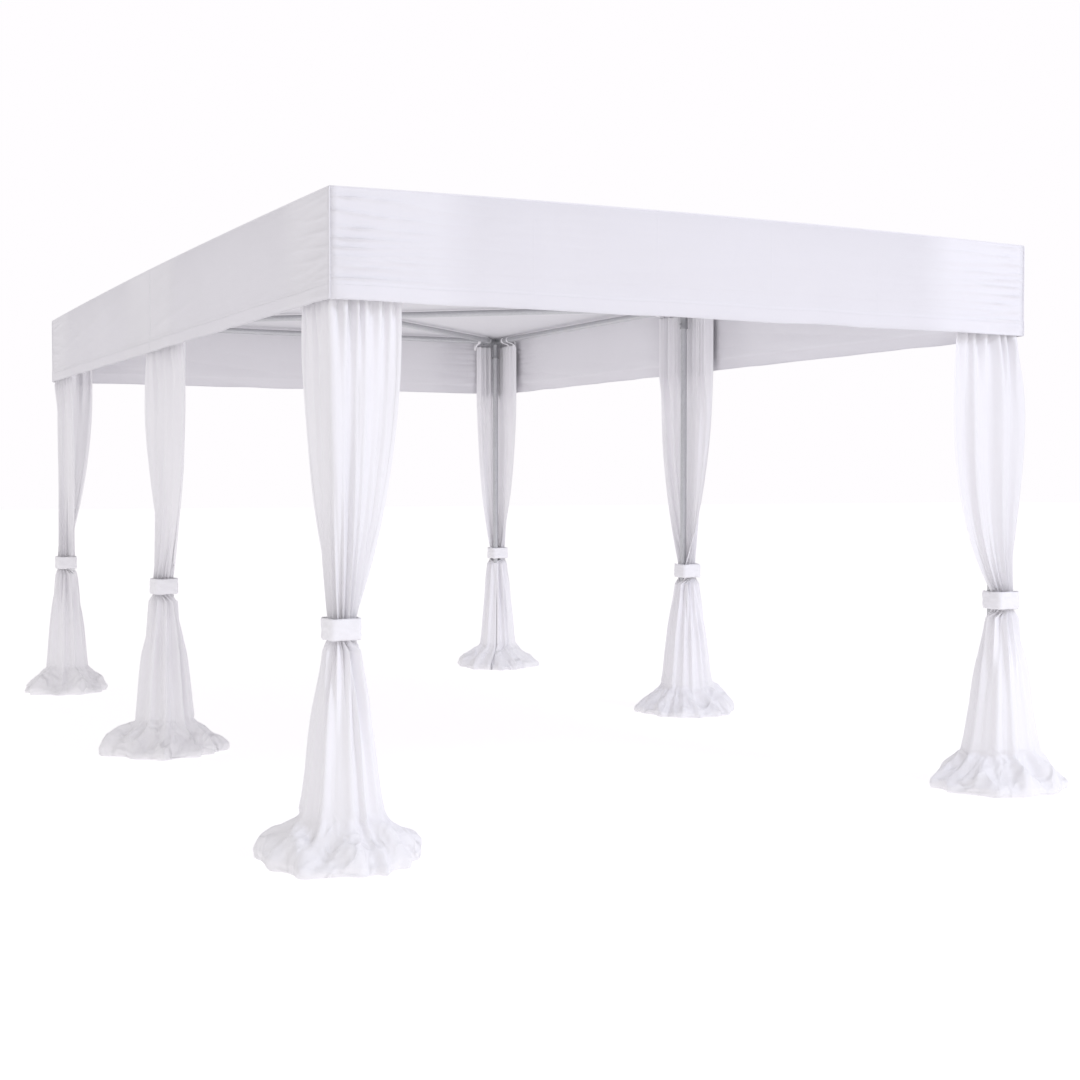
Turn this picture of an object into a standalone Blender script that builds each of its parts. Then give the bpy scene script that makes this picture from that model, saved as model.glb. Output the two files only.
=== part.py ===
"""Cabana: a flat-topped frame tent with a deep fascia and a tied curtain on each of its six legs.

Units are metres. Seen from the lit short side, the front, +X runs to the right, +Y runs to the
back and +Z runs up. The origin lies on the floor at the middle of the plan.
"""

import math

import bmesh
import bpy
from mathutils import Matrix, Vector

# Overall sizes
WIDTH = 3.66
LENGTH = 6.10
HEIGHT = 2.74
FASCIA_DROP = 0.455
CLOTH_THICKNESS = 0.004
TOUCH = 0.0003

# Tube frame
TUBE_RADIUS = 0.0205
TUBE_SIDES = 20
LEG_INSET = 0.10
SLEEVE_RADIUS = 0.0245
SLEEVE_REACH = 0.14
BORE_START = 0.078
BORE_CLEARANCE = 0.0006
SLEEVE_SIDES = 20
HUB_RADIUS = 0.028
HUB_CAP = 0.004
FOOT_SIZE = 0.15
FOOT_THICKNESS = 0.008
FOOT_SOCKET_RADIUS = 0.027
FOOT_SOCKET_HEIGHT = 0.08

# Curtains
CURTAIN_BULK = 0.030
CURTAIN_REACH = 0.32
BUNCH_SHIFT = 0.033
BUNCH_RADIUS = 0.053
BUNCH_WRAP = math.radians(108)
SKIRT_WRAP = math.radians(168)
SKIRT_RADIUS = 0.160
SKIRT_FOOT = 0.20
PUDDLE_RADIUS = 0.315
PUDDLE_LIP = 0.035
BAND_HEIGHT = 0.957
BAND_DEPTH = 0.088
BAND_WALL = 0.006
BAND_ROUNDING = 0.018
CURTAIN_COLUMNS = 12
UPPER_ROWS = 5
SKIRT_ROWS = 4

# Places worked out from the sizes
ROOF_UNDERSIDE = HEIGHT - CLOTH_THICKNESS
FRAME_HEIGHT = ROOF_UNDERSIDE - TOUCH - SLEEVE_RADIUS
FASCIA_FOOT = HEIGHT - FASCIA_DROP
LEG_X = WIDTH / 2 - LEG_INSET
LEG_Y = LENGTH / 2 - LEG_INSET
HUB_Y = LEG_Y / 2
TUBE_START = BORE_START + TOUCH
CURTAIN_OFFSET = HUB_RADIUS + TOUCH + CURTAIN_BULK / 2
BAND_INNER = BUNCH_RADIUS + CURTAIN_BULK / 2 + TOUCH
UP = Vector((0, 0, 1))

LEGS = {
    "front_left": (-1, -1),
    "front_right": (1, -1),
    "middle_left": (-1, 0),
    "middle_right": (1, 0),
    "back_left": (-1, 1),
    "back_right": (1, 1),
}


def clear_scene():
    """Remove every object, so that the script gives the same result wherever it is run."""
    for item in list(bpy.data.objects):
        bpy.data.objects.remove(item, do_unlink=True)


def new_collection(name):
    """A new collection in the scene."""
    collection = bpy.data.collections.new(name)
    bpy.context.scene.collection.children.link(collection)
    return collection


def new_material(name, colour, roughness, metallic=0.0):
    """A plain Principled material."""
    material = bpy.data.materials.new(name)
    material.use_nodes = True
    shader = material.node_tree.nodes["Principled BSDF"]
    shader.inputs["Base Color"].default_value = (*colour, 1.0)
    shader.inputs["Roughness"].default_value = roughness
    shader.inputs["Metallic"].default_value = metallic
    material.diffuse_color = (*colour, 1.0)
    return material


def place_object(name, data, material, place=(0, 0, 0)):
    """Put a mesh or curve in the cabana's collection, with its material."""
    item = bpy.data.objects.new(name, data)
    item.location = place
    data.materials.append(material)
    CABANA.objects.link(item)
    return item


def mesh_from(name, shape):
    """Turn a bmesh into mesh data with its faces pointing out."""
    bmesh.ops.recalc_face_normals(shape, faces=shape.faces)
    mesh = bpy.data.meshes.new(name)
    shape.to_mesh(mesh)
    shape.free()
    return mesh


def shade_round(mesh, angle=math.radians(35)):
    """Smooth shading that keeps real edges sharp."""
    mesh.shade_smooth()
    mesh.set_sharp_from_angle(angle=angle)


def node_place(name):
    """The middle of the fitting at the head of a leg."""
    side, end = LEGS[name]
    return Vector((side * LEG_X, end * LEG_Y, FRAME_HEIGHT))


def hub_place(end):
    """The middle of the fitting where the rafters of one bay cross."""
    return Vector((0, end * HUB_Y, FRAME_HEIGHT))


def add_tube(name, start, finish, material):
    """A straight tube between two points, as a curve with a round bevel and closed ends."""
    way = finish - start
    curve = bpy.data.curves.new(name, "CURVE")
    curve.dimensions = "3D"
    curve.bevel_depth = TUBE_RADIUS
    curve.bevel_resolution = (TUBE_SIDES - 4) // 2
    curve.use_fill_caps = True
    spline = curve.splines.new("POLY")
    spline.points.add(1)
    spline.points[1].co = (0, 0, way.length, 1)
    tube = place_object(name, curve, material, start)
    tube.rotation_mode = "QUATERNION"
    tube.rotation_quaternion = way.to_track_quat("Z", "X")
    return tube


def add_rod(shape, way, begin, length, radius):
    """Add a round rod to a bmesh, along a direction and starting at a distance from the origin."""
    turn = way.to_track_quat("Z", "X").to_matrix().to_4x4()
    slide = Matrix.Translation(way.normalized() * (begin + length / 2))
    bmesh.ops.create_cone(
        shape, cap_ends=True, segments=SLEEVE_SIDES,
        radius1=radius, radius2=radius, depth=length, matrix=slide @ turn,
    )


def add_cutter(name, shape, place):
    """A hidden object that a Boolean modifier reads."""
    cutter = bpy.data.objects.new(name, mesh_from(name, shape))
    cutter.location = place
    cutter.hide_render = True
    cutter.display_type = "WIRE"
    CUTTERS.objects.link(cutter)
    return cutter


def add_boolean(item, tool, operation):
    """An exact Boolean with another object."""
    modifier = item.modifiers.new(tool.name, "BOOLEAN")
    modifier.operation = operation
    modifier.solver = "EXACT"
    modifier.use_self = operation == "UNION"
    modifier.object = tool


def add_fitting(name, place, ways, material):
    """A slip-on fitting: a round hub with a bored sleeve for each tube that meets there."""
    core = bmesh.new()
    depth = 2 * SLEEVE_RADIUS - HUB_CAP
    bmesh.ops.create_cone(
        core, cap_ends=True, segments=SLEEVE_SIDES,
        radius1=HUB_RADIUS, radius2=HUB_RADIUS, depth=depth,
    )
    fitting = place_object(name, mesh_from(name, core), material, place)
    sleeves = bmesh.new()
    bores = bmesh.new()
    for way in ways:
        add_rod(sleeves, way, 0.002, SLEEVE_REACH - 0.002, SLEEVE_RADIUS)
        add_rod(bores, way, BORE_START, SLEEVE_REACH, TUBE_RADIUS + BORE_CLEARANCE)
    add_boolean(fitting, add_cutter(name + "_sleeves", sleeves, place), "UNION")
    add_boolean(fitting, add_cutter(name + "_bores", bores, place), "DIFFERENCE")
    return fitting


def add_leg(name, place, material):
    """A leg tube welded into a socket on its square foot plate."""
    shape = bmesh.new()
    plate = Matrix.Translation((0, 0, FOOT_THICKNESS / 2))
    plate = plate @ Matrix.Diagonal((FOOT_SIZE, FOOT_SIZE, FOOT_THICKNESS, 1))
    bmesh.ops.create_cube(shape, size=1, matrix=plate)
    leg = place_object(name, mesh_from(name, shape), material, (place.x, place.y, 0))
    top = FRAME_HEIGHT - TUBE_START
    tube = bmesh.new()
    sunk = FOOT_THICKNESS / 2
    add_rod(tube, UP, sunk, top - sunk, TUBE_RADIUS)
    add_rod(tube, UP, sunk + 0.001, FOOT_SOCKET_HEIGHT, FOOT_SOCKET_RADIUS)
    add_boolean(leg, add_cutter(name + "_tube", tube, leg.location), "UNION")
    return leg


def add_panel(name, size, centre, material):
    """A flat panel of stretched fabric with softened edges."""
    shape = bmesh.new()
    bmesh.ops.create_cube(shape, size=1, matrix=Matrix.Diagonal((*size, 1)))
    panel = place_object(name, mesh_from(name, shape), material, centre)
    bevel = panel.modifiers.new("soft_edges", "BEVEL")
    bevel.width = CLOTH_THICKNESS / 4
    bevel.segments = 1
    return panel


def outward_axes(side, end):
    """The middle direction that a curtain faces, the direction across it, and whether it turns a corner."""
    if end == 0:
        return Vector((side, 0, 0)), Vector((0, 1, 0)), False
    first = Vector((side, 0, 0))
    second = Vector((0, end, 0))
    return (first + second).normalized(), (first - second).normalized(), True


def header_point(across, side, end):
    """A point of the curtain's top edge, for across from -1 to 1, seen from the leg's axis."""
    facing, sideways, corner = outward_axes(side, end)
    if not corner:
        return facing * CURTAIN_OFFSET - sideways * across * CURTAIN_REACH
    first = Vector((side, 0, 0))
    second = Vector((0, end, 0))
    away = first if across > 0 else second
    return (first + second) * CURTAIN_OFFSET - away * abs(across) * CURTAIN_REACH


def ring_point(across, side, end, radius, wrap):
    """A point of the bunched curtain, on an arc round the middle of the bunch."""
    facing, sideways, corner = outward_axes(side, end)
    centre = facing * BUNCH_SHIFT * (math.sqrt(2) if corner else 1)
    turn = -across * wrap
    return centre + radius * (facing * math.cos(turn) + sideways * math.sin(turn))


def curtain_rows(side, end):
    """Rows of points from the header to the puddle's lip; each row runs across the curtain."""
    steps = [2 * i / CURTAIN_COLUMNS - 1 for i in range(CURTAIN_COLUMNS + 1)]
    header = [header_point(s, side, end) for s in steps]
    bunch = [ring_point(s, side, end, BUNCH_RADIUS, BUNCH_WRAP) for s in steps]
    rows = [(FRAME_HEIGHT, header), (FASCIA_FOOT, header)]
    waist_top = BAND_HEIGHT + BAND_DEPTH / 2 + 0.006
    waist_foot = BAND_HEIGHT - BAND_DEPTH / 2 - 0.006
    for row in range(1, UPPER_ROWS + 1):
        down = row / UPPER_ROWS
        gather = down * down
        height = FASCIA_FOOT + (waist_top - FASCIA_FOOT) * down
        rows.append((height, [a.lerp(b, gather) for a, b in zip(header, bunch)]))
    rows.append((waist_foot, bunch))
    for row in range(1, SKIRT_ROWS + 1):
        down = row / SKIRT_ROWS
        flare = 1 - (1 - down) ** 1.5
        radius = BUNCH_RADIUS + (SKIRT_RADIUS - BUNCH_RADIUS) * flare
        wrap = BUNCH_WRAP + (SKIRT_WRAP - BUNCH_WRAP) * flare
        height = waist_foot + (SKIRT_FOOT - waist_foot) * down
        rows.append((height, [ring_point(s, side, end, radius, wrap) for s in steps]))
    swell = PUDDLE_RADIUS - SKIRT_RADIUS
    for out, height in ((0.25, 0.105), (0.62, 0.072), (0.92, 0.062), (1.0, PUDDLE_LIP), (1.0, 0.0)):
        radius = SKIRT_RADIUS + swell * out
        rows.append((height, [ring_point(s, side, end, radius, SKIRT_WRAP) for s in steps]))
    return rows


def add_curtain(name, leg, material):
    """A leg's curtain: an open lofted sheet, from the rail through the tie to the floor, made solid."""
    side, end = LEGS[leg]
    shape = bmesh.new()
    grid = []
    for height, row in curtain_rows(side, end):
        grid.append([shape.verts.new((p.x, p.y, height)) for p in row])
    for upper, lower in zip(grid, grid[1:]):
        for i in range(CURTAIN_COLUMNS):
            shape.faces.new((upper[i], upper[i + 1], lower[i + 1], lower[i]))
    mesh = mesh_from(name, shape)
    shade_round(mesh)
    foot = node_place(leg)
    foot.z = 0
    curtain = place_object(name, mesh, material, foot)
    solid = curtain.modifiers.new("gathered_bulk", "SOLIDIFY")
    solid.thickness = CURTAIN_BULK
    solid.offset = 0
    solid.use_even_offset = True
    return curtain


def add_band(name, leg, material):
    """The fabric tie: a square sleeve with rounded corners round the gathered curtain and the leg."""
    side, end = LEGS[leg]
    outer = BAND_INNER + BAND_WALL
    shape = bmesh.new()
    bmesh.ops.create_cube(shape, size=1, matrix=Matrix.Diagonal((2 * outer, 2 * outer, BAND_DEPTH, 1)))
    caps = [f for f in shape.faces if abs(f.normal.z) > 0.5]
    bmesh.ops.delete(shape, geom=caps, context="FACES_ONLY")
    uprights = [e for e in shape.edges if abs(e.verts[0].co.z - e.verts[1].co.z) > BAND_DEPTH / 2]
    bmesh.ops.bevel(
        shape, geom=uprights, offset=BAND_ROUNDING, segments=3, profile=0.5, affect="EDGES",
    )
    mesh = mesh_from(name, shape)
    shade_round(mesh)
    place = node_place(leg) + Vector((side, end, 0)) * BUNCH_SHIFT
    place.z = BAND_HEIGHT
    band = place_object(name, mesh, material, place)
    wall = band.modifiers.new("wall", "SOLIDIFY")
    wall.thickness = BAND_WALL
    wall.offset = -1
    return band


def inward_ways(name):
    """The directions in which tubes leave the fitting at the head of a leg."""
    side, end = LEGS[name]
    here = node_place(name)
    ways = [-UP, Vector((-side, 0, 0))]
    ways += [Vector((0, way, 0)) for way in (-1, 1) if way != end]
    ways += [(hub_place(bay) - here).normalized() for bay in (-1, 1) if end in (0, bay)]
    return ways


def build_frame(steel, zinc):
    """Legs, head fittings, rails, the cross beam and the crossed rafters of both bays."""
    for name in LEGS:
        add_leg("leg_" + name, node_place(name), steel)
        add_fitting("fitting_" + name, node_place(name), inward_ways(name), zinc)
    rails = {
        "rail_front": ("front_left", "front_right"),
        "rail_back": ("back_left", "back_right"),
        "cross_beam": ("middle_left", "middle_right"),
        "rail_left_front_bay": ("front_left", "middle_left"),
        "rail_left_back_bay": ("middle_left", "back_left"),
        "rail_right_front_bay": ("front_right", "middle_right"),
        "rail_right_back_bay": ("middle_right", "back_right"),
    }
    for name, (start, finish) in rails.items():
        add_span(name, node_place(start), node_place(finish), steel)
    for bay, end in (("front", -1), ("back", 1)):
        hub = hub_place(end)
        corners = [leg for leg, (_, row) in LEGS.items() if row in (0, end)]
        ways = [(node_place(leg) - hub).normalized() for leg in corners]
        add_fitting("fitting_" + bay + "_roof_hub", hub, ways, zinc)
        for leg in corners:
            add_span("rafter_" + bay + "_bay_" + leg, node_place(leg), hub, steel)


def add_span(name, start, finish, material):
    """A tube whose two ends sit in the sleeves of the fittings at two points."""
    way = (finish - start).normalized()
    return add_tube(name, start + way * TUBE_START, finish - way * TUBE_START, material)


def build_cover(cloth):
    """The roof sheet and the four fascia panels that hang from its edges."""
    thick = CLOTH_THICKNESS
    add_panel("roof_sheet", (WIDTH, LENGTH, thick), (0, 0, HEIGHT - thick / 2), cloth)
    drop = FASCIA_DROP - thick - TOUCH
    middle = FASCIA_FOOT + drop / 2
    edge_x = (WIDTH - thick) / 2
    edge_y = (LENGTH - thick) / 2
    side_length = LENGTH - 2 * (thick + TOUCH)
    add_panel("fascia_front", (WIDTH, thick, drop), (0, -edge_y, middle), cloth)
    add_panel("fascia_back", (WIDTH, thick, drop), (0, edge_y, middle), cloth)
    add_panel("fascia_left", (thick, side_length, drop), (-edge_x, 0, middle), cloth)
    add_panel("fascia_right", (thick, side_length, drop), (edge_x, 0, middle), cloth)


def build_curtains(cloth, tie_cloth):
    """A curtain and its tie band on every leg."""
    for leg in LEGS:
        add_curtain("curtain_" + leg, leg, cloth)
        add_band("tie_band_" + leg, leg, tie_cloth)


clear_scene()
CABANA = new_collection("cabana")
CUTTERS = new_collection("cutters")
build_frame(
    new_material("galvanised_tube", (0.42, 0.43, 0.45), 0.42, 0.9),
    new_material("cast_fitting", (0.33, 0.34, 0.36), 0.5, 0.8),
)
build_cover(new_material("cover_fabric", (0.86, 0.86, 0.89), 0.6))
build_curtains(
    new_material("curtain_fabric", (0.9, 0.9, 0.93), 0.65),
    new_material("tie_fabric", (0.84, 0.84, 0.87), 0.6),
)
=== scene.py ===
"""Looks of the cabana: cover, gathered curtains, ties, fittings, finishes and studio."""

import logging
import math
from dataclasses import dataclass, field
from enum import Enum

import bmesh
import bpy
import numpy as np
from mathutils import Matrix, Vector


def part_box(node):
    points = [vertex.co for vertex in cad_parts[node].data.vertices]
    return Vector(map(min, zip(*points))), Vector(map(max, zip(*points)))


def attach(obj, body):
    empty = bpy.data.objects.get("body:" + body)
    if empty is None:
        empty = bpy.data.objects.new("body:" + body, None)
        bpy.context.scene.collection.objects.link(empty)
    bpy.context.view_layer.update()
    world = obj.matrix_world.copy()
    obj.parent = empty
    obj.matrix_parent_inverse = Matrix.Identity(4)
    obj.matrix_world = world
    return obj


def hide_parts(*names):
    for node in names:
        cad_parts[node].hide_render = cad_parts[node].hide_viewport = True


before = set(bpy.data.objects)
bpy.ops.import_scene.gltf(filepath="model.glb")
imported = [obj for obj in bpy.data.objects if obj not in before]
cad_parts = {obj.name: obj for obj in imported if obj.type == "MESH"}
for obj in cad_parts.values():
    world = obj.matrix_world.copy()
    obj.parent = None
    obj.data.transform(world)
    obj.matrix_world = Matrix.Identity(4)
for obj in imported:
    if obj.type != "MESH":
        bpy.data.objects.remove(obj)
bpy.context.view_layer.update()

LOG = logging.getLogger("cabana")
BODY = "root"
CUT_UV = "cut"
UP = Vector((0, 0, 1))
Colour = tuple[float, float, float]
STUDIO_WHITE: Colour = (1.0, 0.985, 1.0)


class Layout(Enum):
    """Where a leg stands, which sets how its curtain hangs."""

    CORNER = "corner"
    MIDDLE = "middle"


class Leg(Enum):
    """The six legs, each with its side (left is -1) and its end (front is -1)."""

    FRONT_LEFT = (-1, -1)
    FRONT_RIGHT = (1, -1)
    MIDDLE_LEFT = (-1, 0)
    MIDDLE_RIGHT = (1, 0)
    BACK_LEFT = (-1, 1)
    BACK_RIGHT = (1, 1)

    @property
    def label(self) -> str:
        """The leg's name as the CAD nodes spell it."""
        return self.name.lower()

    @property
    def layout(self) -> Layout:
        """Whether the leg stands at a corner or at the middle of a long side."""
        return Layout.CORNER if self.value[1] else Layout.MIDDLE

    def axis(self) -> Vector:
        """The point on the floor under the leg's centre line."""
        low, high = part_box("leg_" + self.label)
        middle = (low + high) / 2
        return Vector((middle.x, middle.y, 0))


class Slot(Enum):
    """Names of the record's material slots; no piece is given one here."""

    FITTING = "frame_fitting"
    COVER = "cover_fabric"
    CURTAIN = "curtain_fabric"
    TIE = "tie_fabric"


# Shader building

class Value:
    """A shader socket that Python's operators work on."""

    def __init__(self, shader: "Shader", socket: bpy.types.NodeSocket) -> None:
        """Keeps the shader and the socket."""
        self.shader = shader
        self.socket = socket

    def maths(self, operation: str, *others: "Value | float", clamp: bool = False) -> "Value":
        """The result of one Math node on this value and others.

        Args:
            operation: The Math node's operation.
            others: The other values or numbers, in order.
            clamp: Whether the result is kept between 0 and 1.

        Returns:
            The node's result.
        """
        settings = {"operation": operation, "use_clamp": clamp}
        return self.shader.value("ShaderNodeMath", settings, dict(enumerate((self, *others))))

    def second(self, operation: str, other: float) -> "Value":
        """The result of an operation on another number and this value."""
        return self.shader.value("ShaderNodeMath", {"operation": operation}, {0: other, 1: self})

    def __add__(self, other: "Value | float") -> "Value":
        """Self plus other."""
        return self.maths("ADD", other)

    def __radd__(self, other: float) -> "Value":
        """Other plus self."""
        return self.second("ADD", other)

    def __sub__(self, other: "Value | float") -> "Value":
        """Self minus other."""
        return self.maths("SUBTRACT", other)

    def __rsub__(self, other: float) -> "Value":
        """Other minus self."""
        return self.second("SUBTRACT", other)

    def __mul__(self, other: "Value | float") -> "Value":
        """Self times other."""
        return self.maths("MULTIPLY", other)

    def __rmul__(self, other: float) -> "Value":
        """Other times self."""
        return self.second("MULTIPLY", other)

    def sine(self) -> "Value":
        """The sine of self."""
        return self.maths("SINE")

    def clamped(self) -> "Value":
        """Self kept between 0 and 1."""
        return self.maths("ADD", 0.0, clamp=True)

    def size(self) -> "Value":
        """Self without its sign."""
        return self.maths("ABSOLUTE")

    def fold(self, width: float) -> "Value":
        """Self folded back and forth between 0 and width."""
        return self.maths("PINGPONG", width)

    def rise(self, low: float, high: float) -> "Value":
        """A smooth step from 0 at low to 1 at high."""
        inputs = {"Value": self, "From Min": low, "From Max": high}
        return self.shader.value("ShaderNodeMapRange", {"interpolation_type": "SMOOTHSTEP"}, inputs)


class Shader:
    """One material's nodes round its Principled BSDF."""

    def __init__(self, name: str) -> None:
        """Makes the material."""
        self.material = bpy.data.materials.new(name)
        self.material.use_nodes = True
        self.tree = self.material.node_tree
        self.surface = self.tree.nodes["Principled BSDF"]

    def node(self, kind: str, settings: dict, inputs: dict) -> bpy.types.Node:
        """Adds a node.

        Args:
            kind: The node's type.
            settings: Its properties by name.
            inputs: Its inputs by name or number, each a Value, a socket or a constant.

        Returns:
            The node.
        """
        node = self.tree.nodes.new(kind)
        for name, setting in settings.items():
            setattr(node, name, setting)
        for name, given in inputs.items():
            self.give(node.inputs[name], given)
        return node

    def give(self, socket: bpy.types.NodeSocket, given: object) -> None:
        """Links a value to a socket, or sets a constant on it.

        Args:
            socket: The socket that takes it.
            given: A Value, another socket or a constant.
        """
        if isinstance(given, Value):
            given = given.socket
        if isinstance(given, bpy.types.NodeSocket):
            self.tree.links.new(given, socket)
        else:
            socket.default_value = given

    def value(self, kind: str, settings: dict, inputs: dict, output: int | str = 0) -> Value:
        """Adds a node and returns one of its outputs as a Value."""
        return Value(self, self.node(kind, settings, inputs).outputs[output])

    def place(self) -> Value:
        """The point in the shared frame, in metres."""
        return self.value("ShaderNodeTexCoord", {}, {}, "Object")

    def cut(self) -> Value:
        """The point on the flat cut cloth, in metres."""
        return self.value("ShaderNodeUVMap", {"uv_map": CUT_UV}, {})

    def parts(self, vector: Value) -> tuple[Value, Value, Value]:
        """A vector's three numbers."""
        node = self.node("ShaderNodeSeparateXYZ", {}, {0: vector})
        return tuple(Value(self, socket) for socket in node.outputs[:3])

    def stretch(self, vector: Value, scale: Colour) -> Value:
        """A vector scaled by three numbers."""
        settings = {"operation": "MULTIPLY"}
        return self.value("ShaderNodeVectorMath", settings, {0: vector, 1: scale})

    def noise(self, vector: Value, scale: float, detail: float = 3, warp: float = 0) -> Value:
        """Smooth noise from 0 to 1."""
        inputs = {"Vector": vector, "Scale": scale, "Detail": detail, "Distortion": warp}
        return self.value("ShaderNodeTexNoise", {}, inputs)

    def cells(self, vector: Value, scale: float) -> Value:
        """A random number for each cell of a Voronoi pattern."""
        inputs = {"Vector": vector, "Scale": scale}
        return self.value("ShaderNodeTexVoronoi", {}, inputs, "Color")

    def attribute(self, name: str) -> Value:
        """A number kept on the mesh's points."""
        return self.value("ShaderNodeAttribute", {"attribute_name": name}, {}, "Fac")

    def blend(self, low: Colour, high: Colour, factor: Value) -> Value:
        """A colour between two others."""
        inputs = {0: factor, 6: (*low, 1), 7: (*high, 1)}
        return self.value("ShaderNodeMix", {"data_type": "RGBA"}, inputs, 2)

    def feed(self, name: str, given: object) -> None:
        """Gives one of the surface's inputs a value."""
        self.give(self.surface.inputs[name], given)

    def bump(self, height: Value) -> None:
        """Feeds the surface's normal from a height in metres."""
        inputs = {"Height": height, "Distance": 1.0, "Strength": 1.0}
        self.feed("Normal", self.value("ShaderNodeBump", {}, inputs))

    def let_through(self, share: Value, colour: Colour) -> None:
        """Lets some of the light through, as thin cloth does.

        Args:
            share: How much of the light goes through.
            colour: Its colour.
        """
        thin = self.node("ShaderNodeBsdfTranslucent", {}, {"Color": (*colour, 1)})
        solid, behind = self.surface.outputs[0], thin.outputs[0]
        mixed = self.node("ShaderNodeMixShader", {}, {0: share, 1: solid, 2: behind})
        self.tree.links.new(mixed.outputs[0], self.tree.nodes["Material Output"].inputs["Surface"])


# Finishes

@dataclass(frozen=True)
class Weave:
    """A plain weave, in metres on the cut cloth."""

    pitch: float
    depth: float

    def height(self, shader: Shader) -> Value:
        """The height of warp over weft, from -1 to 1."""
        across, along, _ = shader.parts(shader.cut())
        turn = 2 * math.pi / self.pitch
        return (across * turn).sine() * (along * turn).sine()


@dataclass(frozen=True)
class CoverFabric:
    """Coated white roof fabric: satin, faintly creased where it was folded, doubled along hem and seams,
    with painted shade darkening the roof part.
    """

    shade: Colour = (0.600, 0.590, 0.613)
    light: Colour = (0.818, 0.805, 0.838)
    thinness: float = 0.24
    weave: Weave = Weave(0.0022, 0.00012)
    crease_every: float = 0.61
    cockle_depth: float = 0.0022
    fine_depth: float = 0.00018
    fold_depth: float = 0.0003
    seam_depth: float = 0.0009
    roughness: float = 0.52
    sheen: float = 0.08
    specular: float = 0.42

    def build(self) -> bpy.types.Material:
        """Makes the material."""
        shader = Shader("cover_fabric")
        place = shader.place()
        cut = shader.cut()
        across, along, _ = shader.parts(cut)
        clouds = shader.noise(place, 1.3, 4, 0.3)
        hem = shader.attribute("hem")
        seam = shader.attribute("seam").rise(0.45, 0.62)
        tone = (clouds - 0.5) * 0.9 + 0.42 + hem * 0.22 + seam * 0.20
        # The roof mask pulls the roof's colour down towards the shade colour: painted shade for the roof's
        # underside.
        level = tone * 0.30 + 0.70 - shader.attribute("roof") * 0.55
        shader.feed("Base Color", shader.blend(self.shade, self.light, level.clamped()))
        shader.feed("Roughness", (shader.noise(place, 5.0, 2) - 0.5) * 0.16 + self.roughness)
        folds = [
            1 - (axis + self.crease_every / 2).fold(self.crease_every / 2).rise(0.0, 0.006)
            for axis in (across, along)
        ]
        cockle = shader.noise(shader.stretch(cut, (1.0, 0.8, 1.0)), 7.0, 3, 0.8)
        fine = shader.noise(cut, 38.0, 2)
        height = cockle * self.cockle_depth + fine * self.fine_depth
        height = height + (folds[0] + folds[1]) * self.fold_depth
        height = height + seam * self.seam_depth + self.weave.height(shader) * self.weave.depth
        shader.bump(height)
        shader.feed("Sheen Weight", self.sheen)
        shader.feed("Specular IOR Level", self.specular)
        shader.let_through(shader.attribute("thin") * self.thinness, self.light)
        return shader.material


@dataclass(frozen=True)
class CurtainFabric:
    """Soft white polyester: a fine weave, faint slubs and pulls down the cloth, and small soft creases."""

    shade: Colour = (0.870, 0.860, 0.882)
    light: Colour = (0.943, 0.933, 0.955)
    weave: Weave = Weave(0.0016, 0.00008)
    hem_width: float = 0.022
    hem_depth: float = 0.0006
    stitch_depth: float = 0.0008
    slub_depth: float = 0.00006
    crease_depth: float = 0.0011
    pulled_depth: float = 0.0065
    crumple_depth: float = 0.055
    crumpled_below: tuple[float, float] = (0.12, 0.30)
    tie_top: tuple[float, float] = (0.90, 1.02)
    head_foot: tuple[float, float] = (2.25, 2.30)
    roughness: float = 0.68
    sheen: float = 0.22
    sheen_roughness: float = 0.4
    specular: float = 0.3

    def build(self) -> bpy.types.Material:
        """Makes the material."""
        shader = Shader("curtain_fabric")
        place = shader.place()
        cut = shader.cut()
        across, along, _ = shader.parts(cut)
        slub = shader.noise(shader.stretch(cut, (260.0, 5.0, 1.0)), 1.0, 3)
        edge = shader.attribute("edge")
        hem = 1 - edge.rise(self.hem_width - 0.001, self.hem_width + 0.001)
        tone = shader.noise(place, 2.4, 3) * 0.55 + slub * 0.35 + hem * 0.25
        shader.feed("Base Color", shader.blend(self.shade, self.light, tone.clamped()))
        shader.feed("Roughness", slub * 0.14 + (self.roughness - 0.07))
        crease = shader.noise(shader.stretch(cut, (1.0, 0.45, 1.0)), 30.0, 3, 1.2)
        stitch = 1 - (edge - self.hem_width).size().rise(0.0004, 0.0016)
        dash = along.fold(0.003).rise(0.0006, 0.0012)
        pulled = shader.noise(shader.stretch(cut, (1.0, 0.07, 1.0)), 24.0, 2)
        height = pulled * self.pulled_depth + crease * self.crease_depth + slub * self.slub_depth
        height = height + hem * self.hem_depth - stitch * dash * self.stitch_depth
        height = height + self.weave.height(shader) * self.weave.depth
        _, _, up = shader.parts(place)
        crushed = (shader.noise(place, 7.5, 1, 0.6) - 0.5).size()
        height = height - crushed * (1 - up.rise(*self.crumpled_below)) * self.crumple_depth
        shader.bump(height)
        shader.feed("Sheen Weight", self.sheen)
        shader.feed("Sheen Roughness", self.sheen_roughness)
        shader.feed("Specular IOR Level", self.specular)
        single = up.rise(*self.tie_top) - up.rise(*self.head_foot)
        shader.let_through(single * shader.attribute("sheer"), self.light)
        return shader.material


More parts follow.
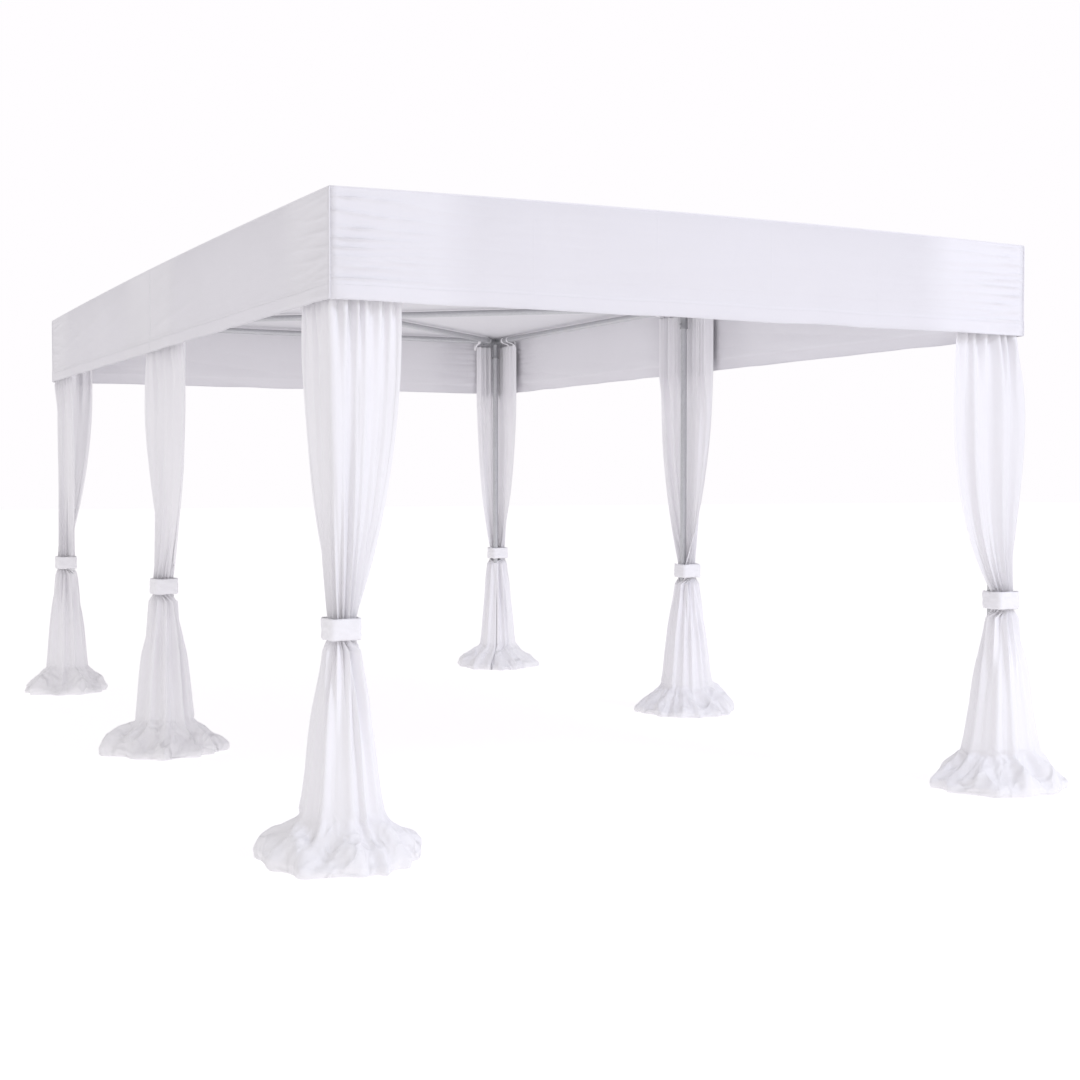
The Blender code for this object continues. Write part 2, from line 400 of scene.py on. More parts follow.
@dataclass(frozen=True)
class TieFabric:
    """Doubled white cloth of the ties, with wrinkles from being pulled tight."""

    shade: Colour = (0.840, 0.830, 0.856)
    light: Colour = (0.925, 0.915, 0.940)
    weave: Weave = Weave(0.0018, 0.00010)
    wrinkle_depth: float = 0.0024
    sheen: float = 0.15

    def build(self) -> bpy.types.Material:
        """Makes the material."""
        shader = Shader("tie_fabric")
        cut = shader.cut()
        tone = shader.noise(cut, 16.0, 3, 0.6)
        shader.feed("Base Color", shader.blend(self.shade, self.light, tone))
        shader.feed("Roughness", tone * 0.16 + 0.54)
        wrinkle = shader.noise(shader.stretch(cut, (0.6, 1.5, 1.0)), 34.0, 4, 1.6)
        shader.bump(wrinkle * self.wrinkle_depth + self.weave.height(shader) * self.weave.depth)
        shader.feed("Sheen Weight", self.sheen)
        return shader.material


@dataclass(frozen=True)
class Thread:
    """Twisted white sewing thread."""

    colour: Colour = (0.70, 0.70, 0.72)
    twist: float = 2600.0

    def build(self) -> bpy.types.Material:
        """Makes the material."""
        shader = Shader("thread")
        across, along, up = shader.parts(shader.place())
        twist = ((across + along + up) * self.twist).sine()
        lighter = tuple(min(1.0, tone * 1.2) for tone in self.colour)
        shader.feed("Base Color", shader.blend(self.colour, lighter, twist * 0.5 + 0.5))
        shader.feed("Roughness", twist * 0.05 + 0.6)
        return shader.material


@dataclass(frozen=True)
class GalvanisedTube:
    """Grey zinc-coated tube: soft spangle, fine grime and dull patches."""

    shade: Colour = (0.48, 0.484, 0.50)
    light: Colour = (0.64, 0.644, 0.66)
    spangle: float = 70.0
    spangle_depth: float = 0.00005
    grime_depth: float = 0.00012

    def build(self) -> bpy.types.Material:
        """Makes the material."""
        shader = Shader("galvanised_tube")
        place = shader.place()
        spots = shader.cells(place, self.spangle)
        patches = shader.noise(place, 3.0, 4, 0.4)
        grime = shader.noise(place, 22.0, 5, 0.8)
        tone = spots * 0.35 + patches * 0.5 + grime * 0.2 - 0.05
        shader.feed("Base Color", shader.blend(self.shade, self.light, tone.clamped()))
        shader.feed("Roughness", spots * 0.12 + grime * 0.2 + 0.26)
        shader.feed("Metallic", 0.60 - grime.rise(0.62, 0.8) * 0.25)
        shader.bump(spots * self.spangle_depth + grime * self.grime_depth)
        return shader.material


@dataclass(frozen=True)
class CastFitting:
    """Darker cast fitting: fine sand-cast grain, lighter in random patches of wear."""

    shade: Colour = (0.34, 0.345, 0.355)
    light: Colour = (0.50, 0.505, 0.52)
    grain: float = 420.0
    grain_depth: float = 0.00022
    wear_depth: float = 0.0002

    def build(self) -> bpy.types.Material:
        """Makes the material."""
        shader = Shader("cast_fitting")
        place = shader.place()
        sand = shader.noise(place, self.grain, 3)
        wear = shader.noise(place, 26.0, 4, 0.6)
        shader.feed("Base Color", shader.blend(self.shade, self.light, wear * 0.8 + sand * 0.2))
        shader.feed("Roughness", wear * 0.22 + 0.36)
        shader.feed("Metallic", 0.95 - wear.rise(0.6, 0.8) * 0.3)
        shader.bump(sand * self.grain_depth + wear * self.wear_depth)
        return shader.material


@dataclass(frozen=True)
class ZincScrew:
    """Bright plated screws with a little dulling."""

    colour: Colour = (0.55, 0.56, 0.58)

    def build(self) -> bpy.types.Material:
        """Makes the material."""
        shader = Shader("zinc_screw")
        spots = shader.noise(shader.place(), 240.0, 3)
        darker = tuple(tone * 0.6 for tone in self.colour)
        shader.feed("Base Color", shader.blend(darker, self.colour, spots))
        shader.feed("Roughness", spots * 0.2 + 0.22)
        shader.feed("Metallic", 1.0)
        return shader.material


@dataclass(frozen=True)
class StudioFloor:
    """White studio floor that glows, so that it stays as pale as the backdrop."""

    glow: float = 0.66
    white: Colour = (0.50, 0.494, 0.50)

    def build(self) -> bpy.types.Material:
        """Makes the material."""
        shader = Shader("studio_floor")
        shader.feed("Base Color", (*self.white, 1))
        shader.feed("Roughness", 0.95)
        shader.feed("Specular IOR Level", 0.1)
        shader.feed("Emission Color", (*STUDIO_WHITE, 1))
        shader.feed("Emission Strength", self.glow)
        return shader.material


@dataclass
class Finishes:
    """Every material, built once."""

    cover: bpy.types.Material = field(default_factory=lambda: CoverFabric().build())
    curtain: bpy.types.Material = field(default_factory=lambda: CurtainFabric().build())
    tie: bpy.types.Material = field(default_factory=lambda: TieFabric().build())
    thread: bpy.types.Material = field(default_factory=lambda: Thread().build())
    tube: bpy.types.Material = field(default_factory=lambda: GalvanisedTube().build())
    fitting: bpy.types.Material = field(default_factory=lambda: CastFitting().build())
    screw: bpy.types.Material = field(default_factory=lambda: ZincScrew().build())


# Meshes

def add_object(name: str, mesh: bpy.types.Mesh) -> bpy.types.Object:
    """Links a mesh into the scene as an object at the origin."""
    item = bpy.data.objects.new(name, mesh)
    bpy.context.scene.collection.objects.link(item)
    return item


def mesh_of(name: str, points: np.ndarray, faces: np.ndarray | list) -> bpy.types.Mesh:
    """A mesh from points and faces, shaded smooth.

    Args:
        name: The mesh's name.
        points: Its points, one row each.
        faces: Its faces, as rows of point numbers.

    Returns:
        The mesh.
    """
    mesh = bpy.data.meshes.new(name)
    mesh.from_pydata([tuple(p) for p in points], [], [tuple(int(i) for i in f) for f in faces])
    mesh.shade_smooth()
    return mesh


def grid_faces(rows: int, columns: int, closed: bool = False) -> np.ndarray:
    """Quads between the points of a grid that is numbered row by row.

    Args:
        rows: How many rows of points there are.
        columns: How many points a row has.
        closed: Whether each row's end joins its start.

    Returns:
        Point numbers, four to a face.
    """
    row, column = np.meshgrid(np.arange(rows - 1), np.arange(columns - (not closed)), indexing="ij")
    here = row * columns + column
    beside = row * columns + (column + 1) % columns
    return np.stack([here, beside, beside + columns, here + columns], -1).reshape(-1, 4)


def set_uv(mesh: bpy.types.Mesh, points: np.ndarray) -> None:
    """Gives each corner of the mesh the flat place of its point.

    Args:
        mesh: The mesh.
        points: The flat place of each of its points, in metres on the cut cloth.
    """
    layer = mesh.uv_layers.new(name=CUT_UV)
    index = np.empty(len(mesh.loops), int)
    mesh.loops.foreach_get("vertex_index", index)
    layer.data.foreach_set("uv", points[index].astype(np.float32).ravel())


def set_number(mesh: bpy.types.Mesh, name: str, numbers: np.ndarray) -> None:
    """Keeps a number on each point of the mesh."""
    attribute = mesh.attributes.new(name, "FLOAT", "POINT")
    attribute.data.foreach_set("value", numbers.astype(np.float32).ravel())


def points_of(mesh: bpy.types.Mesh) -> np.ndarray:
    """The mesh's points, one row each."""
    flat = np.empty(len(mesh.vertices) * 3)
    mesh.vertices.foreach_get("co", flat)
    return flat.reshape(-1, 3)


def baked(item: bpy.types.Object) -> bpy.types.Mesh:
    """A new mesh of the object with its modifiers applied."""
    bpy.context.view_layer.update()
    graph = bpy.context.evaluated_depsgraph_get()
    return bpy.data.meshes.new_from_object(item.evaluated_get(graph))


def bake(item: bpy.types.Object) -> bpy.types.Object:
    """Applies the object's modifiers.

    Args:
        item: The object.

    Returns:
        The same object with a plain mesh.
    """
    mesh = baked(item)
    item.modifiers.clear()
    item.data = mesh
    return item


def drop_object(item: bpy.types.Object) -> None:
    """Removes an object that was only used to make others."""
    bpy.data.objects.remove(item)


def finish(
    item: bpy.types.Object, material: bpy.types.Material, replaces: tuple[str, ...] = ()
) -> bpy.types.Object:
    """Gives a piece its material and its body, and hides the CAD nodes that it stands for.

    Args:
        item: The piece.
        material: Its finish.
        replaces: CAD nodes that it stands for.

    Returns:
        The piece.
    """
    item.data.materials.clear()
    item.data.materials.append(material)
    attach(item, BODY)
    if replaces:
        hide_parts(*replaces)
    item.data.calc_loop_triangles()
    LOG.info("%s: %d triangles", item.name, len(item.data.loop_triangles))
    return item


def sweep(name: str, path: np.ndarray, radius: float, closed: bool = False) -> bpy.types.Object:
    """A round cord along a path.

    Args:
        name: The object's name.
        path: Points that the cord's middle follows.
        radius: The cord's radius.
        closed: Whether its end joins its start.

    Returns:
        The cord as a mesh object.
    """
    curve = bpy.data.curves.new(name, "CURVE")
    curve.dimensions = "3D"
    curve.bevel_depth = radius
    curve.bevel_resolution = 1
    curve.use_fill_caps = not closed
    spline = curve.splines.new("POLY")
    spline.points.add(len(path) - 1)
    spline.points.foreach_set("co", np.column_stack([path, np.ones(len(path))]).ravel())
    spline.use_cyclic_u = closed
    item = add_object(name + "_line", curve)
    mesh = baked(item)
    drop_object(item)
    mesh.shade_smooth()
    return add_object(name, mesh)


def joined(name: str, items: list[bpy.types.Object]) -> bpy.types.Object:
    """One object from several.

    Args:
        name: The new object's name.
        items: The objects, which are removed.

    Returns:
        The new object.
    """
    shape = bmesh.new()
    for item in items:
        shape.from_mesh(item.data)
    mesh = bpy.data.meshes.new(name)
    shape.to_mesh(mesh)
    shape.free()
    for item in items:
        drop_object(item)
    return add_object(name, mesh)


def lathe(profile: list[tuple[float, float]], sides: int = 24) -> tuple[np.ndarray, np.ndarray]:
    """A turned shape round the z axis.

    Args:
        profile: Radius and height of each ring, going up the outside.
        sides: How many sides it has.

    Returns:
        Its points and faces.
    """
    turn = np.arange(sides) * 2 * math.pi / sides
    rings = [np.column_stack([r * np.cos(turn), r * np.sin(turn), np.full(sides, z)]) for r, z in profile]
    return np.concatenate(rings), grid_faces(len(profile), sides, closed=True)


class Ripples:
    """Smooth seeded waves over a surface, each a sum of a few sines."""

    def __init__(self, seed: int) -> None:
        """Starts the random numbers."""
        self.random = np.random.default_rng(seed)

    def wave(self, across: np.ndarray, along: np.ndarray, length: float, lean: float = 1.0) -> np.ndarray:
        """Waves of about one length, from about -1 to 1.

        Args:
            across: First coordinate of each point, in metres.
            along: Second coordinate of each point, in metres.
            length: The usual length of a wave, in metres.
            lean: How much the waves vary along the second coordinate.

        Returns:
            The waves' height at each point.
        """
        total = 0.0
        for _ in range(6):
            turn = 2 * math.pi / (length * self.random.uniform(0.6, 1.7))
            slope = lean * self.random.normal() * turn * 0.7
            total = total + np.sin(across * turn + along * slope + self.random.uniform(0, 2 * math.pi))
        return total / 3.2


# Geometry Nodes

class NodeRecipe:
    """A Geometry Nodes tree with named inputs, which ends in Realize Instances and Set Material."""

    def __init__(self, name: str) -> None:
        """Makes the tree with its geometry sockets."""
        self.tree = bpy.data.node_groups.new(name, "GeometryNodeTree")
        face = self.tree.interface
        face.new_socket("Geometry", in_out="INPUT", socket_type="NodeSocketGeometry")
        face.new_socket("Geometry", in_out="OUTPUT", socket_type="NodeSocketGeometry")
        self.entry = self.tree.nodes.new("NodeGroupInput")
        self.identifiers: dict[str, str] = {}

    def ask(self, name: str, kind: str) -> bpy.types.NodeSocket:
        """Adds a named input and returns its socket."""
        item = self.tree.interface.new_socket(name, in_out="INPUT", socket_type=kind)
        self.identifiers[name] = item.identifier
        return self.entry.outputs[name]

    def node(self, kind: str, settings: dict, inputs: dict) -> bpy.types.Node:
        """Adds a node.

        Args:
            kind: The node's type.
            settings: Its properties by name.
            inputs: Its inputs by name or number, each a socket or a constant.

        Returns:
            The node.
        """
        node = self.tree.nodes.new(kind)
        for name, setting in settings.items():
            setattr(node, name, setting)
        for name, given in inputs.items():
            if isinstance(given, bpy.types.NodeSocket):
                self.tree.links.new(given, node.inputs[name])
            else:
                node.inputs[name].default_value = given
        return node

    def end(self, shape: bpy.types.NodeSocket) -> None:
        """Realizes the instances, sets the material and closes the tree."""
        real = self.node("GeometryNodeRealizeInstances", {}, {0: shape})
        material = self.ask("Material", "NodeSocketMaterial")
        inputs = {"Geometry": real.outputs[0], "Material": material}
        dressed = self.node("GeometryNodeSetMaterial", {}, inputs)
        self.node("NodeGroupOutput", {}, {0: dressed.outputs[0]})

    def run(self, name: str, mesh: bpy.types.Mesh, values: dict) -> bpy.types.Object:
        """Runs the tree on a mesh.

        Args:
            name: The new object's name.
            mesh: The mesh that the tree works on.
            values: Its named inputs.

        Returns:
            The result as a plain mesh object.
        """
        item = add_object(name, mesh)
        modifier = item.modifiers.new("recipe", "NODES")
        modifier.node_group = self.tree
        for key, given in values.items():
            modifier[self.identifiers[key]] = given
        return bake(item)


class StitchLine(NodeRecipe):
    """Short threads along a line of edges."""

    def __init__(self) -> None:
        """Builds the tree."""
        super().__init__("stitch_line")
        spacing = self.ask("Spacing", "NodeSocketFloat")
        length = self.ask("Length", "NodeSocketFloat")
        radius = self.ask("Radius", "NodeSocketFloat")
        seed = self.ask("Seed", "NodeSocketInt")
        line = self.node("GeometryNodeMeshToCurve", {}, {"Mesh": self.entry.outputs[0]})
        even = self.node(
            "GeometryNodeResampleCurve", {"mode": "LENGTH"}, {"Curve": line.outputs[0], "Length": spacing}
        )
        thread = self.node(
            "GeometryNodeMeshCylinder",
            {"fill_type": "NONE"},
            {"Vertices": 5, "Side Segments": 1, "Radius": radius, "Depth": length},
        )
        tangent = self.node("GeometryNodeInputTangent", {}, {})
        turn = self.node(
            "FunctionNodeAlignRotationToVector", {"axis": "Z"}, {"Vector": tangent.outputs[0]}
        )
        scale = self.node(
            "FunctionNodeRandomValue",
            {"data_type": "FLOAT_VECTOR"},
            {0: (0.85, 0.85, 0.82), 1: (1.15, 1.15, 1.12), "Seed": seed},
        )
        threads = self.node(
            "GeometryNodeInstanceOnPoints",
            {},
            {
                "Points": even.outputs[0],
                "Instance": thread.outputs[0],
                "Rotation": turn.outputs[0],
                "Scale": scale.outputs[0],
            },
        )
        self.end(threads.outputs[0])


class Scatter(NodeRecipe):
    """Copies of one object on points, each turned to the point's facing attribute."""

    def __init__(self, axis: str) -> None:
        """Builds the tree.

        Args:
            axis: The axis of the copied object that is turned to the facing.
        """
        super().__init__("scatter_" + axis.lower())
        source = self.ask("Source", "NodeSocketObject")
        seed = self.ask("Seed", "NodeSocketInt")
        spin = self.ask("Spin", "NodeSocketFloat")
        taken = self.node("GeometryNodeObjectInfo", {}, {"Object": source})
        facing = self.node(
            "GeometryNodeInputNamedAttribute", {"data_type": "FLOAT_VECTOR"}, {"Name": "facing"}
        )
        turn = self.node(
            "FunctionNodeAlignRotationToVector", {"axis": axis}, {"Vector": facing.outputs[0]}
        )
        chance = self.node(
            "FunctionNodeRandomValue", {"data_type": "FLOAT"}, {2: -1.0, 3: 1.0, "Seed": seed}
        )
        angle = self.node("ShaderNodeMath", {"operation": "MULTIPLY"}, {0: chance.outputs[1], 1: spin})
        wheel = self.node(
            "FunctionNodeAxisAngleToRotation", {}, {"Axis": (0, 0, 1), "Angle": angle.outputs[0]}
        )
        turned = self.node(
            "FunctionNodeRotateRotation",
            {"rotation_space": "LOCAL"},
            {"Rotation": turn.outputs[0], "Rotate By": wheel.outputs[0]},
        )
        copies = self.node(
            "GeometryNodeInstanceOnPoints",
            {},
            {
                "Points": self.entry.outputs[0],
                "Instance": taken.outputs["Geometry"],
                "Rotation": turned.outputs[0],
            },
        )
        self.end(copies.outputs[0])


def facing_points(name: str, places: list[Vector], facings: list[Vector]) -> bpy.types.Mesh:
    """A mesh of loose points that each keep a facing.

    Args:
        name: The mesh's name.
        places: The points.
        facings: The way that the copy at each point is turned.

    Returns:
        The mesh.
    """
    mesh = bpy.data.meshes.new(name)
    mesh.from_pydata([tuple(p) for p in places], [], [])
    attribute = mesh.attributes.new("facing", "FLOAT_VECTOR", "POINT")
    attribute.data.foreach_set("vector", np.array([tuple(f) for f in facings], np.float32).ravel())
    return mesh


def line_mesh(name: str, paths: list[np.ndarray]) -> bpy.types.Mesh:
    """A mesh of edges along paths.

    Args:
        name: The mesh's name.
        paths: The points of each path, one row each.

    Returns:
        The mesh.
    """
    points, edges = [], []
    for path in paths:
        start = len(points)
        points += [tuple(p) for p in path]
        edges += [(start + i, start + i + 1) for i in range(len(path) - 1)]
    mesh = bpy.data.meshes.new(name)
    mesh.from_pydata(points, edges, [])
    return mesh


# The cover

# The ways out of the front, right, back and left sides
SIDE_WAYS = ((0, -1), (1, 0), (0, 1), (-1, 0))

# Rings of the fascia, each as distance out, distance down and 1 where the cloth is the hem's
Levels = list[tuple[float, float, float]]


@dataclass(frozen=True)
class RoofEdge:
    """The points round the roof's edge, from the front left corner and anticlockwise.

    Each row of each array is one point: its number in the roof's grid, its place, the way out, the number
    of its side, whether a seam stands under it, and its distance round the roof and from a corner.
    """

    numbers: np.ndarray
    places: np.ndarray
    out: np.ndarray
    side: np.ndarray
    seam: np.ndarray
    run: np.ndarray
    corner: np.ndarray

    def start(self, side: int) -> int:
        """Which point is the first one of a side."""
        return int(np.argmax(self.side == side))


@dataclass
class Cover:
    """The sewn cover: one sheet over the frame that folds down into the fascia on all four sides."""

    finishes: Finishes
    fold: float = 0.012
    across_cells: int = 144
    along_cells: int = 240
    wall_rows: int = 60
    hem_top: float = 0.378
    hem_lift: float = 0.0014
    hem_step: float = 0.004
    hem_margin: float = 0.007
    hem_rounding: float = 0.001
    end_crown: float = 0.017
    side_crown: float = 0.022
    sag: float = 0.010
    sag_length: float = 0.22
    belly_depth: float = 0.0040
    flutter_depth: float = 0.0034
    pull_length: float = 0.33
    front_pull: float = 0.0150
    other_pull: float = 0.0070
    gather_length: float = 0.14
    gather_depth: float = 0.012
    drape_depth: float = 0.003
    side_drape_depth: float = 0.007
    flare_from: float = 0.70
    flare_length: float = 0.30
    flare_depth: float = 0.006
    foot_unevenness: float = 0.0022
    patch_reach: float = 0.45
    patch_fade: float = 0.20
    piping_radius: float = 0.0036
    stitch_lift: float = 0.0006
    stitch_spacing: float = 0.014
    stitch_length: float = 0.009
    stitch_radius: float = 0.0008
    seed: int = 11

    def __post_init__(self) -> None:
        """Reads the cover's size from the frame."""
        _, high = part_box("roof_sheet")
        self.half_width = high.x
        self.half_length = high.y
        self.top = high.z - 0.002
        self.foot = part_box("fascia_front")[0].z
        self.drop = self.top - self.foot
        self.inner_x = self.half_width - self.fold
        self.inner_y = self.half_length - self.fold
        self.ripples = Ripples(self.seed)
        self.hub_y = abs(sum(v.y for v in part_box("fitting_front_roof_hub")) / 2)

    def beam_distance(self, x: np.ndarray, y: np.ndarray) -> np.ndarray:
        """How far each point is from the nearest rafter, rail or beam, seen from above.

        Args:
            x: First coordinate of each point.
            y: Second coordinate of each point.

        Returns:
            The distances, in metres.
        """
        leg = Leg.FRONT_RIGHT.axis()
        width, length = abs(leg.x), abs(leg.y)
        x, y = np.abs(x), np.abs(y)
        nearest = np.minimum(np.minimum(np.abs(x - width), np.abs(y - length)), y)
        for foot in (0.0, length):
            start = np.array([0.0, self.hub_y])
            way = np.array([width, foot]) - start
            reach = np.clip(((x - start[0]) * way[0] + (y - start[1]) * way[1]) / (way @ way), 0, 1)
            off_x = x - start[0] - reach * way[0]
            off_y = y - start[1] - reach * way[1]
            nearest = np.minimum(nearest, np.hypot(off_x, off_y))
        return nearest

    def roof_height(self, x: np.ndarray, y: np.ndarray) -> np.ndarray:
        """The sheet's height over each point: crowned edges, and a little sag between the tubes.

        Args:
            x: First coordinate of each point.
            y: Second coordinate of each point.

        Returns:
            The heights, in metres.
        """
        u, v = x / self.half_width, y / self.half_length
        crown = self.end_crown * (1 - u * u) * np.abs(v) ** 5
        crown = crown + self.side_crown * (1 - v * v) * np.abs(u) ** 5
        slack = 1 - np.exp(-(np.maximum(self.beam_distance(x, y) - 0.03, 0) / self.sag_length) ** 2)
        middle = np.clip(8 * np.minimum(1 - np.abs(u), 1 - np.abs(v)), 0, 1)
        wave = self.ripples.wave(x, y, 0.55) * 0.0016
        return self.top + crown + 0.004 * middle - (self.sag - wave) * slack * middle

    def roof(self) -> np.ndarray:
        """The roof's points, row by row from the front, each row from the left."""
        across = np.linspace(-self.inner_x, self.inner_x, self.across_cells + 1)
        along = np.linspace(-self.inner_y, self.inner_y, self.along_cells + 1)
        x, y = np.meshgrid(across, along)
        return np.stack([x, y, self.roof_height(x, y)], -1).reshape(-1, 3)

    def edge(self, roof: np.ndarray) -> RoofEdge:
        """The roof's edge.

        Args:
            roof: The roof's points.

        Returns:
            The points of its edge and what is known of each.
        """
        nx, ny = self.across_cells, self.along_cells
        grid = np.arange((nx + 1) * (ny + 1)).reshape(ny + 1, nx + 1)
        edges = [grid[0, :-1], grid[:-1, nx], grid[ny, :0:-1], grid[:0:-1, 0]]
        side = np.repeat(np.arange(4), [len(edge) for edge in edges])
        out = np.array(SIDE_WAYS, float)[side]
        seam = np.zeros(len(side))
        for i in range(4):
            first = int(np.argmax(side == i))
            out[first] = np.add(SIDE_WAYS[i], SIDE_WAYS[i - 1])
            if i % 2:
                seam[first + ny // 2] = 1
        numbers = np.concatenate(edges)
        places = roof[numbers]
        step = np.linalg.norm(np.diff(places[:, :2], axis=0, append=places[:1, :2]), axis=1)
        run = np.concatenate([[0], np.cumsum(step)[:-1]])
        corner = np.hypot(self.inner_x - np.abs(places[:, 0]), self.inner_y - np.abs(places[:, 1]))
        return RoofEdge(numbers, places, out, side, seam, run, corner)

    def levels(self) -> Levels:
        """The rings below the roof's edge: round the fold, down the wall, and out over the hem.

        Returns:
            Each ring's distance out, distance down and hem.
        """
        bends = [math.radians(a) for a in (22.5, 45, 67.5, 90)]
        rings = [(self.fold * math.sin(a), self.fold * (1 - math.cos(a)), 0.0) for a in bends]
        for row in range(1, self.wall_rows + 1):
            rings.append((self.fold, self.fold + (self.hem_top - self.fold) * row / self.wall_rows, 0.0))
        lift = self.fold + self.hem_lift
        rings.append((lift, self.hem_top + self.hem_step, 1.0))
        for row in (0.25, 0.5, 0.75, 1.0):
            down = self.hem_top + self.hem_step + (self.drop - self.hem_top - self.hem_margin) * row
            rings.append((lift, down, 1.0))
        rings.append((lift - self.hem_rounding, self.drop, 1.0))
        return rings

    def wrinkles(self, edge: RoofEdge, share: float) -> np.ndarray:
        """How far the fascia stands out from flat at one level.

        Args:
            edge: The roof's edge.
            share: The level's share of the drop, from 0 to 1.

        Returns:
            Distance outwards at each point of the edge, in metres.
        """
        run, corner, side = edge.run, edge.corner, edge.side
        down = np.full(len(run), share)
        height = down * self.drop
        slow = self.ripples.wave(run, height, 1.1, 0.3)
        belly = np.sin(math.pi * np.clip(down, 0, 1)) * slow * self.belly_depth
        flutter = down**2 * self.ripples.wave(run, height, 0.42, 0.25) * self.flutter_depth
        near = np.exp(-((corner / self.pull_length) ** 2)) * 0.8 + np.exp(-corner / 0.6) * 0.2
        pulled = np.abs(self.ripples.wave(height, run, 0.105, 0.08))
        pull_depth = np.where(side == 0, self.front_pull, self.other_pull)
        tight = (np.exp(-3.2 * pulled) - 0.35) * near * pull_depth
        gather = 0.4 - np.abs(self.ripples.wave(run, height, 0.08, 0.8))
        gather = gather * np.exp(-corner / self.gather_length) * down**3 * self.gather_depth
        slanted = np.abs(self.ripples.wave(run * 0.16 + height * 1.6, height, 0.45, 0.2))
        calm = np.clip(0.25 + self.ripples.wave(run, height * 0, 1.9, 0), 0.08, 1)
        drape = (0.55 - slanted) * down * (self.drape_depth + self.side_drape_depth * calm * (side % 2))
        low = np.clip((down - self.flare_from) / self.flare_length, 0, 1)
        flare = low * low * (3 - 2 * low) * self.flare_depth * (1 + (side == 0))
        fade = np.clip(corner / 0.035, 0, 1) * np.clip(down / 0.08, 0, 1)
        return (belly + flutter + tight + gather + drape + flare) * fade

    def fascia(self, edge: RoofEdge, levels: Levels) -> list[np.ndarray]:
        """The fascia's rings of points, from the roof's edge down.

        Args:
            edge: The roof's edge.
            levels: Each ring's distance out, distance down and hem.

        Returns:
            The rings.
        """
        uneven = self.ripples.wave(edge.run, edge.run * 0, 0.5, 0) * self.foot_unevenness
        foot = self.foot + uneven * np.clip(edge.corner / 0.2, 0, 1)
        state = self.ripples.random.bit_generator.state
        rings = []
        for distance, drop, _ in levels:
            share = drop / self.drop
            self.ripples.random.bit_generator.state = state
            ring = edge.places.copy()
            ring[:, :2] += edge.out * (distance + self.wrinkles(edge, share))[:, None]
            ring[:, 2] = edge.places[:, 2] - (edge.places[:, 2] - foot) * share
            rings.append(ring)
        return rings

    def faces(self, edge: RoofEdge, rings: int) -> np.ndarray:
        """The quads of the roof and of the fascia under its edge.

        Args:
            edge: The roof's edge.
            rings: How many rings the fascia has.

        Returns:
            Point numbers, four to a face.
        """
        columns, rows = self.across_cells + 1, self.along_cells + 1
        faces = [grid_faces(rows, columns)]
        count = len(edge.numbers)
        above = edge.numbers
        for ring in range(rings):
            below = rows * columns + ring * count + np.arange(count)
            faces.append(np.stack([above, below, np.roll(below, -1), np.roll(above, -1)], -1))
            above = below
        return np.concatenate(faces)

    def lay_flat(self, mesh: bpy.types.Mesh, edge: RoofEdge, levels: Levels) -> None:
        """Gives the mesh the flat places of its corners, with each fascia unfolded beside the roof.

        Args:
            mesh: The cover's mesh.
            edge: The roof's edge.
            levels: Each ring's distance out, distance down and hem.
        """
        index = np.empty(len(mesh.loops), int)
        mesh.loops.foreach_get("vertex_index", index)
        flat = points_of(mesh)[index][:, :2].copy()
        after = np.roll(edge.places, -1, 0)
        steps = np.stack([edge.places, edge.places, after, after], 1)[:, :, :2]
        ways = np.array(SIDE_WAYS, float)[edge.side]
        drops = [0.0] + [drop for _, drop, _ in levels]
        start = 4 * self.across_cells * self.along_cells
        for low, high in zip(drops, drops[1:]):
            shift = np.array([low, high, high, low])
            quads = (steps + ways[:, None, :] * shift[None, :, None]).reshape(-1, 2)
            flat[start:start + len(quads)] = quads
            start += len(quads)
        layer = mesh.uv_layers.new(name=CUT_UV)
        layer.data.foreach_set("uv", flat.astype(np.float32).ravel())

    def mark(self, mesh: bpy.types.Mesh, edge: RoofEdge, levels: Levels) -> None:
        """Keeps on the mesh's points where the seams, the hem, the roof and the undoubled cloth are.

        Args:
            mesh: The cover's mesh.
            edge: The roof's edge.
            levels: Each ring's distance out, distance down and hem.
        """
        columns, rows = self.across_cells + 1, self.along_cells + 1
        seams = np.zeros((rows, columns))
        seams[:, [self.across_cells // 3, 2 * self.across_cells // 3]] = 1
        hems = np.repeat([hem for _, _, hem in levels], len(edge.side))
        set_number(mesh, "seam", np.concatenate([seams.ravel(), np.tile(edge.seam, len(levels))]))
        set_number(mesh, "hem", np.concatenate([np.zeros(seams.size), hems]))
        # The roof mask darkens the roof's colour in the cover material, as painted shade for its underside.
        set_number(mesh, "roof", np.concatenate([np.ones(seams.size), np.zeros(hems.size)]))
        by_leg = np.where(edge.side % 2, np.minimum(edge.corner, np.abs(edge.places[:, 1])), edge.corner)
        single = np.clip((by_leg - self.patch_reach) / self.patch_fade, 0, 1)
        set_number(mesh, "thin", np.concatenate([np.ones(seams.size), np.tile(single, len(levels))]))

    def piping(self, rings: list[np.ndarray], edge: RoofEdge) -> bpy.types.Object:
        """The round cords sewn along the roof's edge and down the four corners.

        Args:
            rings: The fascia's rings.
            edge: The roof's edge.

        Returns:
            The cords as one piece.
        """
        cords = [sweep("edge_piping", rings[1], self.piping_radius, closed=True)]
        stack = np.stack(rings)
        for side in range(4):
            path = stack[1:-1, edge.start(side)]
            cords.append(sweep(f"corner_piping_{side}", path, self.piping_radius))
        return finish(joined("cover_piping", cords), self.finishes.cover)

